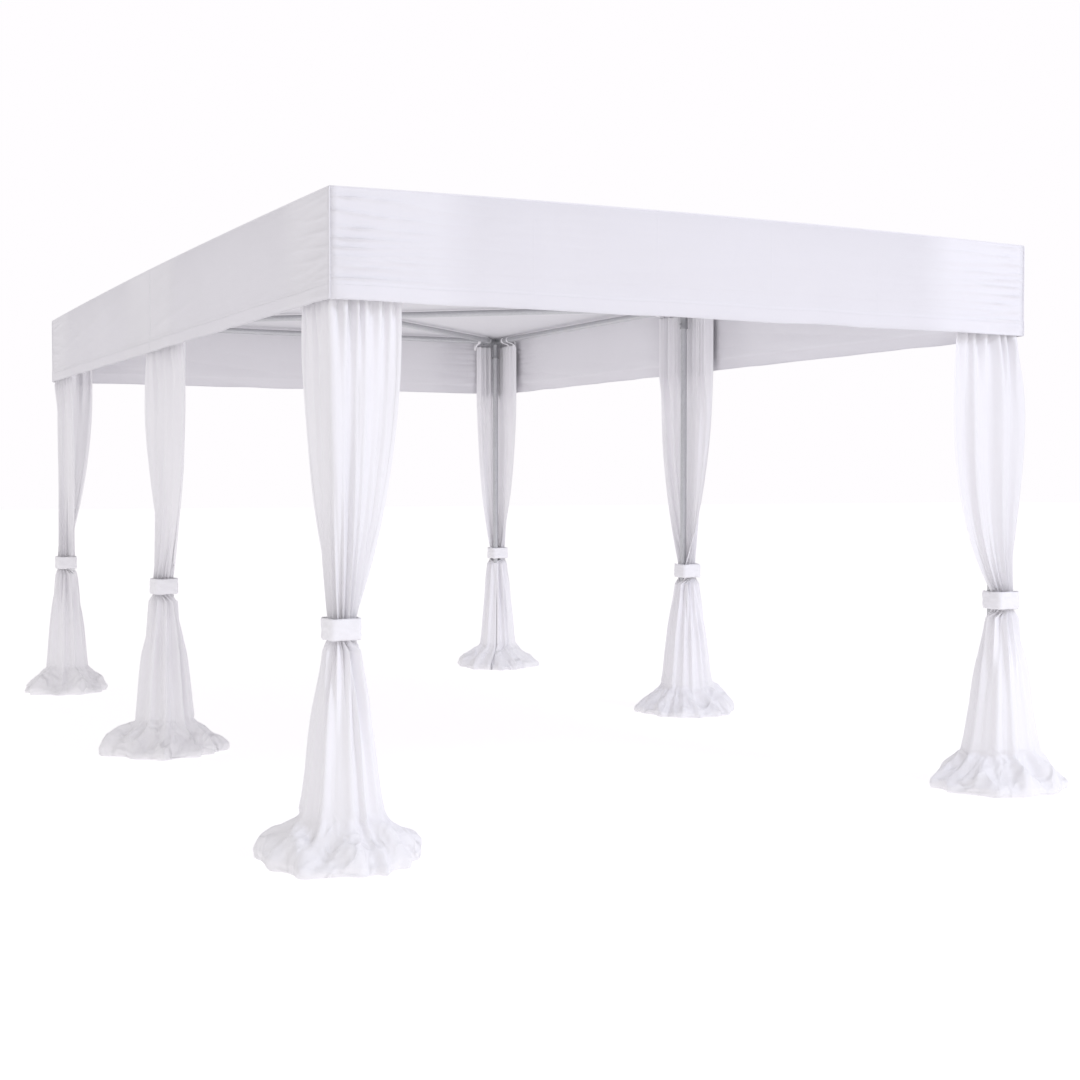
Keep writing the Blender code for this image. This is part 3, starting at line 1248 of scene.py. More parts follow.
    def stitches(self, rings: list[np.ndarray], edge: RoofEdge) -> bpy.types.Object:
        """Lines of stitches along the hem and beside the seams of the fascia.

        Args:
            rings: The fascia's rings.
            edge: The roof's edge.

        Returns:
            The stitches as one piece.
        """
        stack = np.stack(rings)
        proud = np.column_stack([edge.out, np.zeros(len(edge.out))]) * self.stitch_lift
        hem = 4 + self.wall_rows
        rounds = [stack[hem + 1] * 0.6 + stack[hem] * 0.4 + proud, stack[-2] + proud]
        uprights = []
        for i in np.flatnonzero(edge.seam):
            step = stack[4:-1, (i + 1) % len(proud)] - stack[4:-1, i]
            for share in (-0.32, 0.32):
                uprights.append(stack[4:-1, i] + step * share + proud[i])
        lines = [
            line_mesh("cover_stitches", [np.concatenate([path, path[:1]]) for path in rounds]),
            line_mesh("seam_stitches", uprights),
        ]
        recipe = StitchLine()
        values = {
            "Spacing": self.stitch_spacing,
            "Length": self.stitch_length,
            "Radius": self.stitch_radius,
            "Material": self.finishes.thread,
        }
        made = []
        for seed, line in enumerate(lines):
            made.append(recipe.run(f"stitches_{seed}", line, {**values, "Seed": seed}))
        return finish(joined("cover_stitches", made), self.finishes.thread)

    def build(self) -> None:
        """Makes the sheet, its piping and its stitches."""
        roof = self.roof()
        edge = self.edge(roof)
        levels = self.levels()
        rings = self.fascia(edge, levels)
        mesh = mesh_of("cover", np.concatenate([roof, *rings]), self.faces(edge, len(rings)))
        self.lay_flat(mesh, edge, levels)
        self.mark(mesh, edge, levels)
        cover = add_object("cover", mesh)
        nodes = ("roof_sheet", "fascia_front", "fascia_back", "fascia_left", "fascia_right")
        finish(cover, self.finishes.cover, nodes)
        trims = [self.piping(rings, edge), self.stitches(rings, edge)]


# The curtains

# The skirt's shape, as height and distance from the bunch's axis
SKIRT_PROFILE = np.array([
    (0.20, 0.166),
    (0.27, 0.153),
    (0.40, 0.136),
    (0.55, 0.114),
    (0.70, 0.091),
    (0.84, 0.064),
    (0.915, 0.047),
])

# The spare cloth's way down and outwards, as shares of its length, of its reach and of its height
FOOT_PROFILE = np.array([
    (0.0, 0.0, 1.0),
    (0.07, 0.04, 0.90),
    (0.14, 0.12, 0.78),
    (0.30, 0.32, 0.56),
    (0.47, 0.56, 0.37),
    (0.62, 0.79, 0.23),
    (0.74, 0.965, 0.11),
    (0.80, 1.0, 0.0),
    (0.86, 0.96, -0.4),
    (1.0, 0.62, -0.5),
])


@dataclass
class CurtainShape:
    """One gathered panel, hung from the rail, drawn in by its tie and let down onto the floor.

    It is shaped as the front left one, or the middle left one, with its leg's centre line at the origin.
    Its end wing runs along the end's rail, or towards the front at a middle leg, and its side wing along
    the side's rail towards the back.

    Attributes:
        layout: Where the leg stands.
        seed: Seed of the folds' widths and depths and of the creases.
        reach_end: Length of the heading's end wing.
        reach_side: Length of its side wing.
        end_offset: How far outside the rail the end wing hangs at its far end.
        side_offset: The same for the side wing.
        header_depth: Depth of the heading's folds.
        gather: How late the cloth closes in on the tie. A high number keeps it open further down.
        widen: How far the wings swing apart below the heading.
        belly: How far the cloth stands out between the heading and the tie.
        skirt: Width of the skirt, against the usual one.
        sheer: Share of the light that one layer lets through.
        bunch_facing: The way that the bunch's middle faces, in degrees.
    """

    layout: Layout
    seed: int
    columns: int = 216
    folds: int = 12
    broad_folds: int = 5
    skirt_folds: int = 13
    reach_end: float = 0.285
    reach_side: float = 0.400
    corner_offset: float = 0.084
    end_offset: float = 0.054
    side_offset: float = 0.054
    middle_offset: float = 0.068
    offset_length: float = 0.15
    corner_facing: float = 225.0
    corner_bend: float = 0.03
    top: float = 2.668
    gather_from: float = 2.285
    waist_top: float = 0.997
    waist_foot: float = 0.915
    bunch_shift: float = 0.033
    upper_rows: int = 58
    waist_rows: int = 4
    skirt_rows: int = 46
    foot_rows: int = 66
    foot_top: float = 0.215
    foot_reach: float = 0.325
    foot_length: float = 0.36
    slack: float = 1.018
    header_depth: float = 0.017
    sway_depth: float = 0.006
    gather: float = 2.3
    sheer: float = 0.13
    widen: float = 0.0
    skirt: float = 1.0
    belly: float = 0.0
    broad_depth: float = 0.015
    waist_radius: float = 0.041
    waist_depth: float = 0.014
    deepest: float = 0.026
    edge_flare: float = 0.010
    edge_lap: float = 0.004
    heading_limit: float = 0.090
    limit_growth: float = 0.03
    lip_height: float = 0.022
    lip_unevenness: float = 0.011
    tucked_from: float = 0.78
    ridge_count: int = 8
    ridge_height: float = 0.042
    ridge_reach: float = 0.034
    crumple_height: float = 0.013
    crumple_reach: float = 0.008
    floor_clear: float = 0.0045
    waist_wrap: float = 135.0
    skirt_wrap: float = 194.0
    foot_wrap: float = 189.0
    bunch_facing: float = 225.0
    pole_clear: float = 0.0240

    def __post_init__(self) -> None:
        """Starts the random numbers and finds the bunch's axis."""
        self.random = np.random.default_rng(self.seed)
        self.ripples = Ripples(self.seed + 100)
        self.bunch = math.radians(self.bunch_facing)
        corner = self.layout is Layout.CORNER
        self.middle = np.array([-self.bunch_shift, -self.bunch_shift if corner else 0.0])

    def header_line(self, run: np.ndarray) -> tuple[np.ndarray, np.ndarray]:
        """The line that the heading follows, which turns the corner at a corner leg.

        Args:
            run: Places along the heading, in metres from its middle or corner.

        Returns:
            Points on the line, and the way out at each of them.
        """
        ends = np.where(run > 0, self.end_offset, self.side_offset)
        drawn_in = (self.corner_offset - ends) * (1 - np.exp(-(run / self.offset_length) ** 2))
        if self.layout is Layout.MIDDLE:
            points = np.column_stack([drawn_in - self.middle_offset, -run])
            return points, np.tile([-1.0, 0.0], (len(run), 1))
        arc = self.corner_bend * math.pi / 4
        angle = math.radians(self.corner_facing) + math.pi / 4 * np.clip(run / arc, -1, 1)
        out = np.column_stack([np.cos(angle), np.sin(angle)])
        points = out * (self.corner_bend - drawn_in[:, None]) + (self.corner_bend - self.corner_offset)
        beyond = np.maximum(np.abs(run) - arc, 0)
        points[:, 0] += np.where(run > 0, beyond, 0)
        points[:, 1] += np.where(run < 0, beyond, 0)
        return points, out

    def ring(self, radius: float, wrap: float, wave: np.ndarray) -> np.ndarray:
        """Points round the bunch, pushed out by a wave and kept clear of the leg.

        Args:
            radius: Distance from the bunch's axis.
            wrap: Angle each way that the cloth goes round.
            wave: Distance outwards at each point.

        Returns:
            The points, seen from above.
        """
        turn = np.linspace(-1, 1, self.columns + 1)
        angle = self.bunch + turn * wrap
        lap = min(1.0, max(0.0, wrap - math.radians(self.waist_wrap)) / 0.6)
        distance = radius + self.edge_flare * np.abs(turn) ** 3 * (1 - lap) + self.edge_lap * turn**3 * lap
        distance = distance + wave * (1 - lap * turn**8)
        off = angle - math.atan2(-self.middle[1], -self.middle[0])
        far = math.hypot(*self.middle)
        beside = far * np.sin(off)
        past = far * np.cos(off) + np.sqrt(np.maximum(self.pole_clear**2 - beside**2, 0))
        over_pole = (np.abs(beside) < self.pole_clear) & (np.cos(off) > 0)
        distance = np.where(over_pole, np.maximum(distance, past), distance)
        return self.middle + np.column_stack([distance * np.cos(angle), distance * np.sin(angle)])

    def folded(self, radius: float, wrap: float, wave: np.ndarray) -> np.ndarray:
        """A ring whose folds take up the cloth's whole width.

        Args:
            radius: Distance of the folds' middle from the bunch's axis.
            wrap: Angle each way that the cloth goes round.
            wave: Shape of the folds.

        Returns:
            The ring's points.
        """
        low, high = 0.0, self.deepest
        points = self.ring(radius, wrap, 0 * wave)
        target = max(self.cloth_width, 1.18 * np.linalg.norm(np.diff(points, axis=0), axis=1).sum())
        for _ in range(14):
            depth = (low + high) / 2
            points = self.ring(radius, wrap, depth * wave)
            length = np.linalg.norm(np.diff(points, axis=0), axis=1).sum()
            low, high = (depth, high) if length < target else (low, depth)
        return points

    def uneven(self, count: int, spread: float) -> tuple[np.ndarray, np.ndarray]:
        """Folds of uneven width and depth.

        Args:
            count: How many folds there are.
            spread: How far widths and depths differ from 1.

        Returns:
            The folds' edges, from 0 to 1, and a depth at each edge.
        """
        widths = 1 + self.random.uniform(-spread, spread, count)
        edges = np.concatenate([[0], np.cumsum(widths)]) / widths.sum()
        return edges, 1 + self.random.uniform(-spread, spread, count + 1)

    def pleats(self) -> None:
        """Sets the folds' widths and depths, and places the columns evenly along the cloth."""
        edges, depths = self.uneven(self.folds, 0.50)
        fine = np.linspace(-self.reach_side, self.reach_end, 4001)
        share = (fine - fine[0]) / (fine[-1] - fine[0])
        phase = np.interp(share, edges, np.arange(self.folds + 1)) * 2 * math.pi
        depth = np.interp(phase / (2 * math.pi), np.arange(self.folds + 1), depths)
        points, out = self.header_line(fine)
        line = points + out * (self.header_depth * depth * np.cos(phase))[:, None]
        length = np.concatenate([[0], np.cumsum(np.linalg.norm(np.diff(line, axis=0), axis=1))])
        self.cloth_width = float(length[-1])
        self.spread = np.linspace(0, self.cloth_width, self.columns + 1)
        place = np.interp(self.spread, length, fine)
        phase = np.interp(place, fine, phase)
        depth = np.interp(place, fine, depth)
        self.wave = np.cos(phase) * depth
        self.line, self.out = self.header_line(place)
        end_way = [1.0, 0.0] if self.layout is Layout.CORNER else [0.0, -1.0]
        outer = np.abs(place) / np.where(place > 0, self.reach_end, self.reach_side)
        self.swing = np.where((place > 0)[:, None], end_way, [0.0, 1.0]) * (outer**1.5)[:, None]
        self.tight = self.wave * 0.75 + np.cos(phase * 2.0 + 0.8) * 0.45
        self.broad = self.fold_wave(self.broad_folds, 0.45)
        self.skirt_wave = self.fold_wave(self.skirt_folds, 0.55, 0.30)

    def fold_wave(self, count: int, spread: float, sharp: float = 0.0) -> np.ndarray:
        """A wave across the cloth with folds of uneven width and depth.

        Args:
            count: How many folds there are.
            spread: How far widths and depths differ from 1.
            sharp: How far the folds are pinched.

        Returns:
            The wave's height at each column.
        """
        even = np.linspace(0, 1, self.columns + 1)
        edges, depths = self.uneven(count, spread)
        phase = np.interp(even, edges, np.arange(count + 1))
        wave = np.cos(phase * 2 * math.pi) + sharp * np.cos(phase * 4 * math.pi)
        return wave * np.interp(phase, np.arange(count + 1), depths)

    def drawn_down(self, height: float) -> float:
        """How far a height lies down from the fascia's foot towards the tie, from 0 to 1."""
        return max(0.0, (self.gather_from - height) / (self.gather_from - self.waist_top))

    def hanging_row(self, height: float, waist: np.ndarray) -> np.ndarray:
        """One row between the heading and the tie.

        Args:
            height: The row's height.
            waist: The points of the row at the tie.

        Returns:
            The row's points, seen from above.
        """
        down = self.drawn_down(height)
        drawn = down**self.gather
        soft = min(1.0, max(0.0, (self.gather_from - 0.02 - height) / 0.42))
        soft = 0.88 * soft * (2 - soft)
        self.ripples.random = np.random.default_rng(self.seed)
        sway = self.ripples.wave(self.spread, np.full(len(self.spread), height), 0.17, 0.14)
        stand = self.header_depth * self.wave * (1 - soft) + self.broad_depth * self.broad * soft
        stand = stand + sway * self.sway_depth * math.sin(math.pi * min(1.0, down))
        full_out = math.sin(math.pi * min(1.0, down) ** 0.7)
        stand = stand + self.belly * full_out
        loose = self.line + self.out * stand[:, None] + self.swing * self.widen * full_out
        plan = loose * (1 - drawn) + waist * drawn
        below = min(1.0, max(0.0, (self.gather_from + 0.004 - height) / 0.10))
        limit = self.heading_limit + (self.limit_growth + self.belly) * below
        if self.layout is Layout.CORNER:
            return np.maximum(plan, -limit)
        return np.column_stack([np.maximum(plan[:, 0], -limit), plan[:, 1]])

    def skirt_row(self, height: float, waist: np.ndarray) -> np.ndarray:
        """One row of the skirt below the tie.

        Args:
            height: The row's height.
            waist: The points of the row at the tie.

        Returns:
            The row's points, seen from above.
        """
        wrap, full = math.radians(self.waist_wrap), math.radians(self.skirt_wrap)
        narrow = SKIRT_PROFILE[-1, 1]
        radius = float(np.interp(height, SKIRT_PROFILE[:, 0], SKIRT_PROFILE[:, 1]))
        radius = narrow + (radius - narrow) * self.skirt
        closing = min(1.0, (self.waist_foot + 0.006 - height) / 0.05)
        closing = closing * closing * (3 - 2 * closing)
        change = min(1.0, (self.waist_foot - height) / 0.42)
        wave = self.tight * (1 - change) + self.skirt_wave * change
        plan = self.folded(radius, wrap + (full - wrap) * closing, wave)
        free = min(1.0, (self.waist_foot - height) / 0.04)
        return waist * (1 - free) + plan * free

    def rows(self) -> tuple[np.ndarray, np.ndarray]:
        """The whole panel, from its heading to its hem.

        Returns:
            Its points, row by row, and each row's distance down the cloth.
        """
        waist = self.ring(self.waist_radius, math.radians(self.waist_wrap), self.waist_depth * self.tight)
        hanging = np.linspace(self.top, self.waist_top, self.upper_rows + 1)
        tied = np.linspace(self.waist_top, self.waist_foot, self.waist_rows + 1)[1:]
        skirt = np.linspace(self.waist_foot, self.foot_top, self.skirt_rows + 1)[1:]
        plans = [self.hanging_row(height, waist) for height in hanging]
        plans += [waist] * self.waist_rows
        plans += [self.skirt_row(height, waist) for height in skirt]
        points = []
        for plan, height in zip(plans, [*hanging, *tied, *skirt]):
            points.append(np.column_stack([plan, np.full(len(plan), height)]))
        drop = hanging[0] - hanging[1]
        steps = [0.0]
        steps += [drop * (self.slack if self.drawn_down(height) > 0 else 1.0) for height in hanging[:-1]]
        steps += [(self.waist_top - self.waist_foot) / self.waist_rows] * self.waist_rows
        steps += [(self.waist_foot - self.foot_top) / self.skirt_rows] * self.skirt_rows
        lengths = np.cumsum(steps)
        on_floor = lengths[-1] + np.arange(1, self.foot_rows + 1) * self.foot_length / self.foot_rows
        foot = self.foot(points[-1])
        return np.concatenate([np.stack(points), foot]), np.concatenate([lengths, on_floor])

    def smooth_noise(self, turns: int) -> np.ndarray:
        """Slow random change round the bunch.

        Args:
            turns: How many waves are added up.

        Returns:
            The change at each column, from -1 to 1.
        """
        turn = np.linspace(-1, 1, self.columns + 1) * math.radians(self.foot_wrap)
        wave = np.zeros_like(turn)
        for number in range(1, turns + 1):
            wave += self.random.normal(0, 1) * np.cos(number * turn + self.random.uniform(0, 2 * math.pi))
        return wave / np.abs(wave).max()

    def ridges(self, along: np.ndarray, turn: np.ndarray) -> np.ndarray:
        """The sharp folds that run down the foot and widen outwards.

        Args:
            along: Each row's place along the spare cloth, from 0 to 1.
            turn: Each column's place round the bunch, from -1 to 1.

        Returns:
            The folds' height at each point, from 0 to 1.
        """
        ridges = np.zeros((len(along), len(turn)))
        for number in range(self.ridge_count):
            at = -0.95 + (number + self.random.uniform(0.1, 0.9)) * 1.9 / self.ridge_count
            size, lean = self.random.uniform(0.45, 1.0), self.random.uniform(-0.09, 0.09)
            grow = np.clip((along - self.random.uniform(-0.1, 0.1)) / 0.55, 0, 1)[:, None]
            across = np.abs(turn[None, :] - at - lean * along[:, None]) / (0.03 + 0.07 * grow)
            ridges = np.maximum(ridges, size * np.clip(1 - across, 0, 1) * grow**0.6)
        return ridges * (1 - turn**10)

    def crumple(self, along: np.ndarray, turn: np.ndarray) -> np.ndarray:
        """The small creases all over the foot.

        Args:
            along: Each row's place along the spare cloth, from 0 to 1.
            turn: Each column's place round the bunch, from -1 to 1.

        Returns:
            The creases' height at each point, from about -1 to 1.
        """
        fall, spread = np.meshgrid(along * self.foot_length, self.spread, indexing="ij")
        crumple = 0.7 * self.ripples.wave(spread, fall * 0.6, 0.14, 0.8)
        for size, share in ((0.10, 0.40), (0.05, 0.14)):
            crease = np.abs(self.ripples.wave(spread, fall * 0.5, size, 0.8))
            crumple = crumple + share * (0.6 - 1.5 * crease)
        return crumple * (1 - turn**10)

    def foot(self, last: np.ndarray) -> np.ndarray:
        """The spare cloth, which breaks over the floor in ridges and lies there with its hem tucked in.

        Args:
            last: The skirt's lowest row.

        Returns:
            The foot's points, row by row.
        """
        turn = np.linspace(-1, 1, self.columns + 1)
        start = np.linalg.norm(last[:, :2] - self.middle, axis=1)
        begin = np.arctan2(last[:, 1] - self.middle[1], last[:, 0] - self.middle[0])
        full, open_wrap = math.radians(self.skirt_wrap), math.radians(self.foot_wrap)
        along = (np.arange(self.foot_rows) + 1) / self.foot_rows
        uneven = 1 + 0.08 * self.smooth_noise(5) + 0.05 * self.skirt_wave * (1 - turn**10)
        reach = self.foot_reach * uneven
        under_lap = np.where(turn < 0, turn**8, 0)
        reach = reach - 0.02 * under_lap
        rise = 1 + 0.35 * self.smooth_noise(7)
        lip = self.lip_height + self.lip_unevenness * self.smooth_noise(8)
        tuck = np.clip(0.4 + self.smooth_noise(6), 0, 1)
        early = 0.11 * self.smooth_noise(8)
        ridges = self.ridges(along, turn)
        crumple = self.crumple(along, turn)
        rows = []
        for row, part in enumerate(along):
            shifted = part + early * math.sin(math.pi * min(1.0, part / 0.6))
            out = np.interp(shifted, FOOT_PROFILE[:, 0], FOOT_PROFILE[:, 1])
            up = np.interp(shifted, FOOT_PROFILE[:, 0], FOOT_PROFILE[:, 2])
            settle = min(1.0, part / 0.2)
            broken = np.exp(-(((shifted - 0.10) / 0.07) ** 2))
            radius = start + (reach - start) * out - 0.014 * tuck * broken
            above = np.clip(up * rise ** (1 - up), 0, 1)
            height = lip + (self.foot_top - lip) * above + lip * np.minimum(0.0, up) * 1.6
            under = 1.0 if part < self.tucked_from else max(0.0, 1 - (part - self.tucked_from) / 0.06)
            slope = math.sin(math.pi * min(1.0, part / self.tucked_from))
            lift = self.ridge_height * ridges[row] * slope + self.crumple_height * settle * crumple[row]
            push = self.ridge_reach * ridges[row] * slope**0.6 + self.crumple_reach * settle * crumple[row]
            height = height + lift * under
            radius = radius + push * under
            wrapped = self.bunch + turn * (full + (open_wrap - full) * out)
            ease = min(1.0, part / 0.5)
            angle = np.unwrap(begin) * (1 - ease) + np.unwrap(wrapped) * ease
            over_lap = self.edge_lap * np.maximum(turn, 0) ** 6 - self.edge_lap * under_lap
            height = height + over_lap * settle * under
            height = np.maximum(height, self.floor_clear)
            plan = self.middle + np.column_stack([radius * np.cos(angle), radius * np.sin(angle)])
            rows.append(np.column_stack([plan, height]))
        return np.stack(rows)

    def build(self) -> bpy.types.Mesh:
        """Makes the panel's mesh, seen from its leg.

        Returns:
            The mesh.
        """
        self.pleats()
        points, lengths = self.rows()
        self.cloth_length = float(lengths[-1])
        rows, columns = points.shape[:2]
        spread, fall = np.meshgrid(self.spread, lengths)
        name = "panel_" + self.layout.value + str(self.seed)
        mesh = mesh_of(name, points.reshape(-1, 3), grid_faces(rows, columns)[:, ::-1])
        set_uv(mesh, np.column_stack([spread.ravel(), -fall.ravel()]))
        edge = np.minimum(np.minimum(spread, self.cloth_width - spread), self.cloth_length - fall)
        set_number(mesh, "edge", edge)
        set_number(mesh, "sheer", np.full(edge.size, self.sheer))
        return mesh


@dataclass
class Curtains:
    """The six curtains, each with its own cut, turned over for the legs on the right and at the back."""

    finishes: Finishes

    def shapes(self) -> dict[Leg, CurtainShape]:
        """The cut and hang of each leg's panel, each with its own folds."""
        corner, middle = Layout.CORNER, Layout.MIDDLE
        at_side = {"broad_depth": 0.022, "bunch_facing": 180.0, "sheer": 0.20}
        return {
            Leg.FRONT_LEFT: CurtainShape(
                corner, 8, reach_end=0.297, reach_side=0.430, end_offset=0.064,
            ),
            Leg.FRONT_RIGHT: CurtainShape(
                corner, 21, reach_end=0.385, reach_side=0.360, end_offset=0.064, gather=3.8, belly=0.045,
                widen=0.060, skirt=1.12, sheer=0.28,
            ),
            Leg.MIDDLE_LEFT: CurtainShape(
                middle, 7, reach_end=0.540, reach_side=0.300, header_depth=0.018, gather=2.8, widen=0.03,
                skirt=0.86, **at_side,
            ),
            Leg.MIDDLE_RIGHT: CurtainShape(
                middle, 17, reach_end=0.250, reach_side=0.380, header_depth=0.022, **at_side,
            ),
            Leg.BACK_LEFT: CurtainShape(
                corner, 5, reach_end=0.262, reach_side=0.350, end_offset=0.074, side_offset=0.016,
                bunch_facing=150.0, gather=2.0, skirt=0.78, foot_reach=0.292, sheer=0.20,
            ),
            Leg.BACK_RIGHT: CurtainShape(
                corner, 13, reach_end=0.215, reach_side=0.340, skirt=0.82, sheer=0.28,
            ),
        }

    def build(self) -> None:
        """Makes every curtain."""
        for leg, shape in self.shapes().items():
            mesh = shape.build()
            side, end = leg.value
            mirror_x, mirror_y = -side, -1 if end > 0 else 1
            mesh.transform(Matrix.Translation(leg.axis()) @ Matrix.Diagonal((mirror_x, mirror_y, 1, 1)))
            if mirror_x * mirror_y < 0:
                mesh.flip_normals()
            curtain = add_object("curtain_cloth_" + leg.label, mesh)
            finish(curtain, self.finishes.curtain, ("curtain_" + leg.label,))
            rail_of(leg)


def rail_of(leg: Leg) -> str:
    """The rail that a leg's curtain hangs from."""
    side, end = leg.value
    if leg.layout is Layout.CORNER:
        return "rail_front" if end < 0 else "rail_back"
    return f"rail_{'left' if side < 0 else 'right'}_front_bay"


# The ties

@dataclass
class TieBand:
    """The strap round a curtain and its leg: a doubled, pulled-tight band with a lapped end."""

    finishes: Finishes
    leg: Leg
    depth: float = 0.089
    thickness: float = 0.0032
    rounding: float = 0.021
    inset: float = 0.005
    lap: float = 0.055
    lap_lift: float = 0.0042
    crease_depth: float = 0.0014
    pull_depth: float = 0.0016
    roll_depth: float = 0.0022
    wobble_depth: float = 0.0018
    columns: int = 120
    rows: int = 14
    first_seed: int = 20

    def outline(self, share: np.ndarray, half: float) -> tuple[np.ndarray, np.ndarray]:
        """A rounded square, from the middle of its inner side.

        Args:
            share: Places round it, from 0 to 1.
            half: Half its width.

        Returns:
            Points, and the way out at each of them.
        """
        straight = half - self.rounding
        arc = self.rounding * math.pi / 2
        whole = 8 * straight + 4 * arc
        run = (share * whole + straight) % whole
        quarter = 2 * straight + arc
        number = np.floor(run / quarter)
        rest = run - number * quarter
        on_line = np.minimum(rest, 2 * straight)
        turn = np.maximum(rest - 2 * straight, 0) / self.rounding
        x = straight + self.rounding * np.cos(turn)
        y = on_line - straight + self.rounding * np.sin(turn)
        out_x, out_y = np.cos(turn), np.sin(turn)
        angle = number * math.pi / 2
        cos, sin = np.cos(angle), np.sin(angle)
        points = np.column_stack([x * cos - y * sin, x * sin + y * cos])
        out = np.column_stack([out_x * cos - out_y * sin, out_x * sin + out_y * cos])
        return points, out

    def strip(self, begin: float, end: float, lift: float, seed: int) -> bpy.types.Mesh:
        """Part of the band as an open strip with wrinkles.

        Args:
            begin: Where it starts round the outline, from 0 to 1.
            end: Where it ends.
            lift: How far it stands out.
            seed: Seed of its wrinkles.

        Returns:
            The mesh.
        """
        low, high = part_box("tie_band_" + self.leg.label)
        half = (high.x - low.x) / 2 - self.inset
        middle = (low + high) / 2
        columns = max(8, round(self.columns * (end - begin)))
        share = np.linspace(begin, end, columns + 1)
        points, out = self.outline(share, half)
        ripples = Ripples(seed)
        grid = []
        run = share * 8 * half
        for row in range(self.rows + 1):
            level = row / self.rows - 0.5
            up = np.full(len(share), level * self.depth)
            ripples.random = np.random.default_rng(seed)
            crease = ripples.wave(up, run, 0.034, 0.5) * self.crease_depth
            pull = ripples.wave(run, up, 0.07, 0.6) * self.pull_depth
            roll = -self.roll_depth * (2 * abs(level)) ** 6
            wobble = ripples.wave(run, up * 0, 0.11, 0) * self.wobble_depth
            stand = lift + crease + pull + roll
            plan = points + out * stand[:, None]
            grid.append(np.column_stack([plan, level * self.depth + wobble]))
        rows = np.stack(grid)
        rows += np.array([middle.x, middle.y, middle.z])
        mesh = mesh_of("strip", rows.reshape(-1, 3), grid_faces(self.rows + 1, columns + 1))
        flat = np.stack(np.meshgrid(run, np.linspace(0, self.depth, self.rows + 1)), -1)
        set_uv(mesh, flat.reshape(-1, 2))
        return mesh

    def build(self) -> None:
        """Makes the band with its lapped end."""
        seed = self.first_seed + list(Leg).index(self.leg)
        strips = []
        for number, (begin, end, lift) in enumerate([(0.0, 1.0, 0.0), (-0.02, 0.075, self.lap_lift)]):
            strip = add_object(f"strip_{number}", self.strip(begin, end, lift, seed))
            wall = strip.modifiers.new("wall", "SOLIDIFY")
            wall.thickness = self.thickness
            wall.offset = -1
            strips.append(bake(strip))
        band = joined("tie_cloth_" + self.leg.label, strips)
        band.data.shade_smooth()
        finish(band, self.finishes.tie, ("tie_band_" + self.leg.label,))


# The frame

@dataclass
class HeadFitting:
    """A slip-on fitting: a boss with one sleeve for each tube, a rolled rim on each sleeve, and screws."""

    finishes: Finishes
    node: str
    place: Vector
    ways: list[Vector]
    sleeve_radius: float = 0.0245
    sleeve_reach: float = 0.14
    boss_radius: float = 0.0278
    boss_half: float = 0.0255
    screw_places: tuple[float, float] = (0.058, 0.108)
    screw_sink: float = 0.0003
    sides: int = 28

    def sleeve(self, way: Vector) -> bpy.types.Object:
        """One sleeve with its rim and the weld at its root.

        Args:
            way: The way that it points.

        Returns:
            The sleeve.
        """
        radius, reach = self.sleeve_radius, self.sleeve_reach
        profile = [
            (0.0207, 0.0), (radius + 0.0030, 0.020), (radius + 0.0016, 0.0305), (radius, 0.034),
            (radius, reach - 0.015), (radius + 0.0008, reach - 0.012), (radius + 0.0018, reach - 0.009),
            (radius + 0.0018, reach - 0.003), (radius + 0.0008, reach), (0.0206, reach),
        ]
        points, faces = lathe(profile, self.sides)
        turn = UP.rotation_difference(way).to_matrix()
        item = add_object("sleeve", mesh_of("sleeve", points, faces))
        item.data.transform(Matrix.Translation(self.place) @ turn.to_4x4())
        return item

    def boss(self) -> bpy.types.Object:
        """The middle of the fitting, a short drum with rounded rims."""
        radius, half = self.boss_radius, self.boss_half
        profile = [
            (0.0004, -half),
            (radius * 0.7, -half),
            (radius * 0.92, -half * 0.93),
            (radius, -half * 0.78),
        ]
        profile += [(x, -z) for x, z in reversed(profile)]
        points, faces = lathe(profile, self.sides)
        item = add_object("boss", mesh_of("boss", points, faces))
        item.data.transform(Matrix.Translation(self.place))
        return item

    def screws(self) -> tuple[list[Vector], list[Vector]]:
        """Places and facings of the screws, two on each sleeve."""
        places, facings = [], []
        for way in self.ways:
            if abs(way.z) < 0.5:
                face = Vector((0, 0, -1))
            else:
                face = Vector((-self.place.x, -self.place.y, 0)).normalized()
            for distance in self.screw_places:
                places.append(self.place + way * distance + face * (self.sleeve_radius - self.screw_sink))
                facings.append(face)
        return places, facings

    def build(self) -> None:
        """Makes the fitting."""
        item = joined("head_" + self.node, [self.boss(), *[self.sleeve(way) for way in self.ways]])
        item.data.shade_smooth()
        finish(item, self.finishes.fitting, (self.node,))


